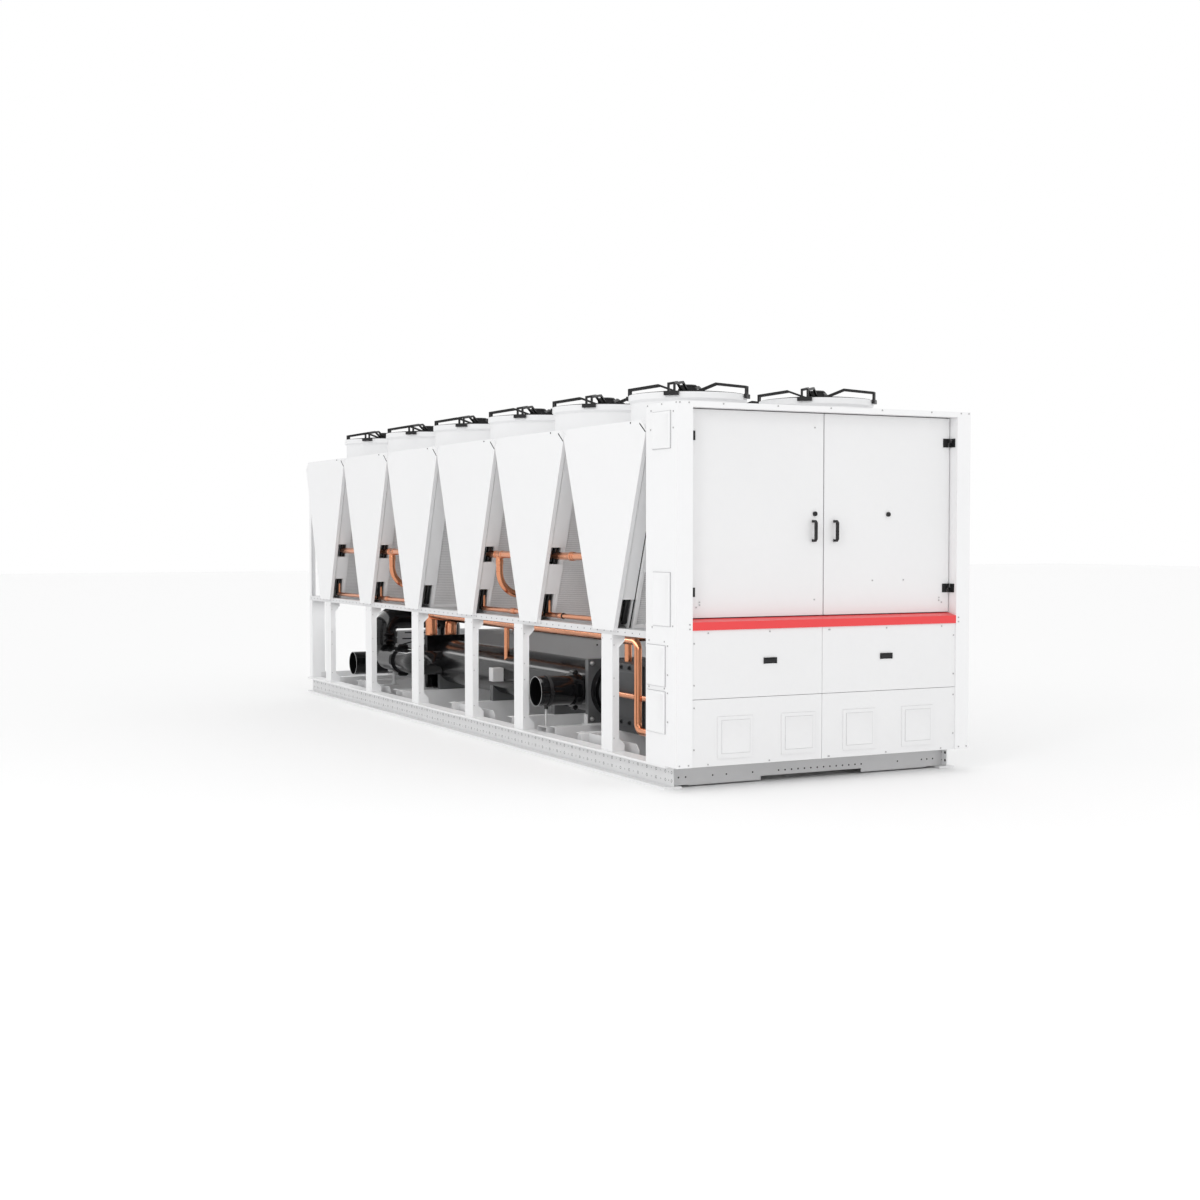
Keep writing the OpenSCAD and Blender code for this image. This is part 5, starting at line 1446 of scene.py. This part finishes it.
@dataclass
class MachineBay:
    """Compressors, their enclosure and the rear service box."""

    unit: Unit
    front_x: tuple[float, float] = (1.930, 2.570)
    plate_t: float = 0.012
    plate_in: float = 0.01
    plate_low: float = 0.045
    plate_high: float = 0.006
    plate_steps: tuple[Step, ...] = ((0.055, 0.0), (0.004, 0.004))
    plate_edge: float = 0.004
    bolt_x: float = 2.000
    bolt_pitch: float = 0.125
    bolt_count: int = 5
    bolt_in: float = 0.026
    bolt_half: float = 0.07
    fold_x: tuple[float, float] = (-0.73, 0.50)
    fold_z: float = 0.732
    fold_t: float = 0.010
    fold_half: float = 0.004
    fold_step: Step = (0.002, 0.002)
    fold_edge: float = 0.0015
    catch_x: float = 0.494
    catch_z: tuple[float, float] = (0.760, 0.690)
    slots: tuple[tuple[float, float, float, float], ...] = (
        (-0.377, 0.06, 0.621, 0.612), (-0.403, 0.06, 0.562, 0.556), (-0.400, 0.06, 0.505, 0.610))
    slot_w: float = 0.012
    slot_t: float = 0.001
    slot_edge: float = 0.0004
    slot_sunk: Step = (0.002, -0.0006)
    cover_low: tuple[float, float, float] = (-1.990, -0.010, 0.202)
    cover_high: tuple[float, float, float] = (-1.304, 0.566, 0.697)
    cover_steps: tuple[Step, ...] = ((0.022, 0.0), (0.002, -0.002))
    cover_edge: float = 0.003

    def build(self) -> None:
        """Dresses the bay's solids and adds its plate, bolts, fold, catches, slots and cover."""
        dress(Look.IRON, "compressors")
        dress(Look.FRAME, "compressor_enclosure")
        dress(Look.GREY, "rear_service_box")
        self.compressor_plate()
        self.enclosure_fold()
        self.service_slots()
        self.rear_cover()

    def compressor_plate(self) -> None:
        """Adds the bolted plate on the near face of the front compressor."""
        low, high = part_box("compressors")
        x0, x1 = self.front_x
        z0, z1 = low.z + self.plate_low, high.z - self.plate_high
        face = low.y - self.plate_t
        plate = block((x0 + self.plate_in, face, z0), (x1 - self.plate_in, low.y, z1))
        step_faces(plate, toward(NEAR), *self.plate_steps)
        row = [self.bolt_x + self.bolt_pitch * i for i in range(self.bolt_count)]
        marks = [(x, z) for x in row for z in (z0 + self.bolt_in, z1 - self.bolt_in)]
        marks += [(x, (z0 + z1) / 2 + way * self.bolt_half) for x in (row[0], row[-1]) for way in SIDES]
        bolts = [facing((x, face, z), NEAR) for x, z in marks]
        finish(soften(plate, self.plate_edge), "compressor_plate", Look.IRON)
        finish(spread(HEX_BOLT.model(), bolts), "compressor_bolts", Look.PLASTIC)

    def enclosure_fold(self) -> None:
        """Adds the folded edge and the round catches on the enclosure's near face."""
        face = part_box("compressor_enclosure")[0].y
        (x0, x1), z, half = self.fold_x, self.fold_z, self.fold_half
        fold = block((x0, face - self.fold_t, z - half), (x1, face, z + half))
        step_faces(fold, toward(NEAR), self.fold_step)
        finish(soften(fold, self.fold_edge), "enclosure_fold", Look.GREY)
        places = [facing((self.catch_x, face, z), NEAR) for z in self.catch_z]
        finish(spread(CLAMP_BOLT.model(), places), "enclosure_catches", Look.PLASTIC)

    def service_slots(self) -> None:
        """Adds the level and slanted slots in the front face of the rear service box."""
        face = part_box("rear_service_box")[1].x
        slots = []
        for y0, y1, z0, z1 in self.slots:
            run = Vector((0, y1 - y0, z1 - z0))
            slot = block((0, 0, -self.slot_w / 2), (self.slot_t, run.length, self.slot_w / 2))
            step_faces(soften(slot, self.slot_edge, 1), toward(AHEAD), self.slot_sunk)
            slant = Matrix.Rotation(math.atan2(run.z, run.y), 4, "X")
            slot.data.transform(Matrix.Translation((face, y0, z0)) @ slant)
            slots.append(slot)
        finish(join(slots), "service_box_slots", Look.SHADOW)

    def rear_cover(self) -> None:
        """Adds the grey sheet cover round the rear compressor, with a rim on its near and front faces."""
        cover = block(self.cover_low, self.cover_high)
        for way in (NEAR, AHEAD):
            step_faces(cover, toward(way), *self.cover_steps)
        finish(soften(cover, self.cover_edge), "rear_compressor_cover", Look.GREY)


@dataclass
class RefrigerantPipes:
    """Copper pipes with the sockets at their joints."""

    unit: Unit
    gas_y: float = -1.041
    gas_z: float = 1.440
    gas_r: float = 0.027
    tee_modules: tuple[int, ...] = (2, 4)
    tee_shift: float = -0.120
    tee_arm: float = 0.058
    socket_l: float = 0.040
    socket_wall: float = 0.003
    socket_edge: float = 0.0024
    socket_sides: int = 28
    branch_bend: float = 0.180
    branch_past: float = 0.02
    branch_z: float = 1.128
    drop_below: float = 0.075
    header_y: float = -0.620
    reducer_x: float = 2.150
    reducer_step: float = 0.003
    reducer_l: float = 0.03
    sleeve_l: float = 0.09
    sleeve_wall: float = 0.003
    sleeve_edge: float = 0.002
    liquid_tees: tuple[float, ...] = (-1.663, 1.138)
    liquid_tee_wall: float = 0.005
    liquid_tee_edge: float = 0.004
    liquid_z: float = 1.015
    liquid_r: float = 0.018
    liquid_sides: int = 24
    ring_x: float = 2.009
    ring_l: float = 0.010
    ring_wall: float = 0.0045

    def build(self) -> None:
        """Dresses the copper solids and adds the joints of the gas and liquid lines."""
        dress(Look.COPPER, "gas_pipes", "compressor_pipes", "liquid_pipes")
        self.tee_sockets()
        self.liquid_joints()

    def _socket(self, middle: Vector, way: Vector, radius: float) -> bpy.types.Object:
        """Models a swaged socket round a pipe.

        Args:
            middle: centre of the socket on the pipe.
            way: direction of the pipe.
            radius: radius of the pipe.

        Returns:
            The socket.
        """
        half = way * self.socket_l / 2
        ring = rod(middle - half, middle + half, radius + self.socket_wall, self.socket_sides)
        return soften(ring, self.socket_edge)

    def tee_sockets(self) -> None:
        """Adds the sockets of each tee, the reducer beyond it and the sockets of the branch below it."""
        along, down, inward = Vector(AHEAD), -Vector(UP), -Vector(NEAR)
        arms = (along, -along, down)
        sockets = []
        for joint in self.tee_modules:
            tee_x = self.unit.rear + joint * self.unit.pitch + self.tee_shift
            tee = Vector((tee_x, self.gas_y, self.gas_z))
            run = Vector((tee_x, self.gas_y + self.branch_bend + self.branch_past, self.branch_z))
            drop = Vector((tee_x, self.header_y, self.branch_z - self.drop_below))
            sockets += [self._socket(tee + way * self.tee_arm, way, self.gas_r) for way in arms]
            sockets += [self._socket(run, inward, self.gas_r), self._socket(drop, down, self.gas_r)]
        reducer = Vector((self.reducer_x, self.gas_y, self.gas_z))
        sockets += [self._socket(reducer, along, self.gas_r + self.reducer_step),
                    self._socket(reducer + along * self.reducer_l, along, self.gas_r)]
        finish(join(sockets), "gas_tee_sockets", Look.COPPER)

    def _sleeve(self, start: Vector, length: float, wall: float, edge: float) -> bpy.types.Object:
        """Models a sleeve round the liquid line.

        Args:
            start: rear end of the sleeve on the line.
            length: length along the line.
            wall: thickness of the sleeve.
            edge: rounding of its ends.

        Returns:
            The sleeve.
        """
        end = start + Vector(AHEAD) * length
        return soften(rod(start, end, self.liquid_r + wall, self.liquid_sides), edge)

    def liquid_joints(self) -> None:
        """Adds the tees and the sleeve on the liquid lines, and the dark ring beside the sleeve."""
        joint = Vector((self.ring_x, self.gas_y, self.liquid_z))
        back = Vector(AHEAD) * self.sleeve_l
        sleeves = [self._sleeve(joint - back, self.sleeve_l, self.sleeve_wall, self.sleeve_edge)]
        for x in self.liquid_tees:
            start = Vector((x, self.gas_y, self.liquid_z)) - back / 2
            sleeves.append(self._sleeve(start, self.sleeve_l, self.liquid_tee_wall, self.liquid_tee_edge))
        finish(join(sleeves), "liquid_line_sleeves", Look.COPPER)
        ring = self._sleeve(joint, self.ring_l, self.ring_wall, self.sleeve_edge)
        finish(ring, "liquid_line_ring", Look.PLASTIC)


SoftLamp = tuple[str, Point, Point, float, float]


@dataclass
class Studio:
    """Pale floor, soft light and the camera of the photograph.

    Each soft lamp has a name, a place, a point that it looks at, a size and a power.
    """

    camera_at: tuple[float, float, float] = (12.76618, -6.22412, 1.58676)
    camera_turn: tuple[float, float, float] = (90.0 - 2.2003, 0.0, 63.0241)
    lens: float = 50.4915
    sensor: float = 36.0
    clip_end: float = 300.0
    sky: float = 1.0
    floor_half: float = 60.0
    floor_grey: float = 0.96
    floor_roughness: float = 0.9
    soft_lamps: tuple[SoftLamp, ...] = (
        ("key_lamp", (9.0, -9.0, 7.0), (0.5, -0.5, 1.2), 2.2, 130.0),
        ("front_lamp", (13.0, 3.0, 5.0), (3.0, 0.0, 1.2), 2.0, 25.0))
    bay_lamp_size: tuple[float, float] = (6.8, 0.12)
    bay_lamp_at: tuple[float, float, float] = (-0.2, 0.93, 0.905)
    bay_lamp_power: float = 9.0

    def build(self) -> None:
        """Adds the floor, the lights and the camera."""
        self.floor()
        self.surround()
        self.lamps()
        self.camera()
        settings = bpy.context.scene.view_settings
        settings.view_transform = "Standard"
        settings.look = "None"

    def floor(self) -> None:
        """Adds the pale floor, which isn't part of the object."""
        clear_selection()
        bpy.ops.mesh.primitive_plane_add(size=2 * self.floor_half)
        floor = settle(bpy.context.object)
        floor.name = "studio_floor"
        material = bpy.data.materials.new("pale_floor")
        material.use_nodes = True
        shader = material.node_tree.nodes["Principled BSDF"]
        shader.inputs["Base Color"].default_value = (self.floor_grey, self.floor_grey, self.floor_grey, 1.0)
        shader.inputs["Roughness"].default_value = self.floor_roughness
        floor.data.materials.append(material)

    def surround(self) -> None:
        """Adds an even white surround."""
        world = bpy.data.worlds.new("studio_white")
        bpy.context.scene.world = world
        world.use_nodes = True
        background = world.node_tree.nodes["Background"]
        background.inputs["Color"].default_value = (1.0, 1.0, 1.0, 1.0)
        background.inputs["Strength"].default_value = self.sky

    def lamps(self) -> None:
        """Adds soft lamps before the unit, and a long one under the coils on each side of the machine bay."""
        for name, at, aim, size, power in self.soft_lamps:
            lamp = self._lamp(name, at, power)
            lamp.data.size = size
            lamp.rotation_euler = (Vector(aim) - Vector(at)).to_track_quat("-Z", "Y").to_euler()
        x, y, z = self.bay_lamp_at
        for name, side in (("near_bay_lamp", -1), ("far_bay_lamp", 1)):
            lamp = self._lamp(name, (x, side * y, z), self.bay_lamp_power)
            lamp.data.shape = "RECTANGLE"
            lamp.data.size, lamp.data.size_y = self.bay_lamp_size
            lamp.visible_camera = False

    def _lamp(self, name: str, at: Point, power: float) -> bpy.types.Object:
        """Adds an area lamp that looks down.

        Args:
            name: name of the lamp.
            at: its place.
            power: its power in watts.

        Returns:
            The lamp.
        """
        light = bpy.data.lights.new(name, "AREA")
        light.energy = power
        lamp = bpy.data.objects.new(name, light)
        lamp.location = at
        bpy.context.collection.objects.link(lamp)
        return lamp

    def camera(self) -> None:
        """Adds the camera at the photograph's place."""
        data = bpy.data.cameras.new("photo_camera")
        data.sensor_width, data.lens = self.sensor, self.lens
        data.clip_end = self.clip_end
        camera = bpy.data.objects.new("photo_camera", data)
        camera.location = self.camera_at
        camera.rotation_euler = Euler([math.radians(a) for a in self.camera_turn])
        bpy.context.collection.objects.link(camera)
        bpy.context.scene.camera = camera


def main() -> None:
    """Builds every sub-assembly in order."""
    logging.basicConfig(level=logging.INFO, format="%(message)s")
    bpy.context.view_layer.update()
    for make in (make_tone_group, make_peel_group, make_dust_group, make_streak_group):
        make()
    unit = Unit()
    parts = (BaseFrame, CondenserModules, FanDeck, Cabinet, Evaporator, WaterPipes, MachineBay,
             RefrigerantPipes)
    for part in parts:
        LOG.info("building %s", part.__name__)
        part(unit).build()
    Studio().build()


if __name__ == "__main__":
    main()
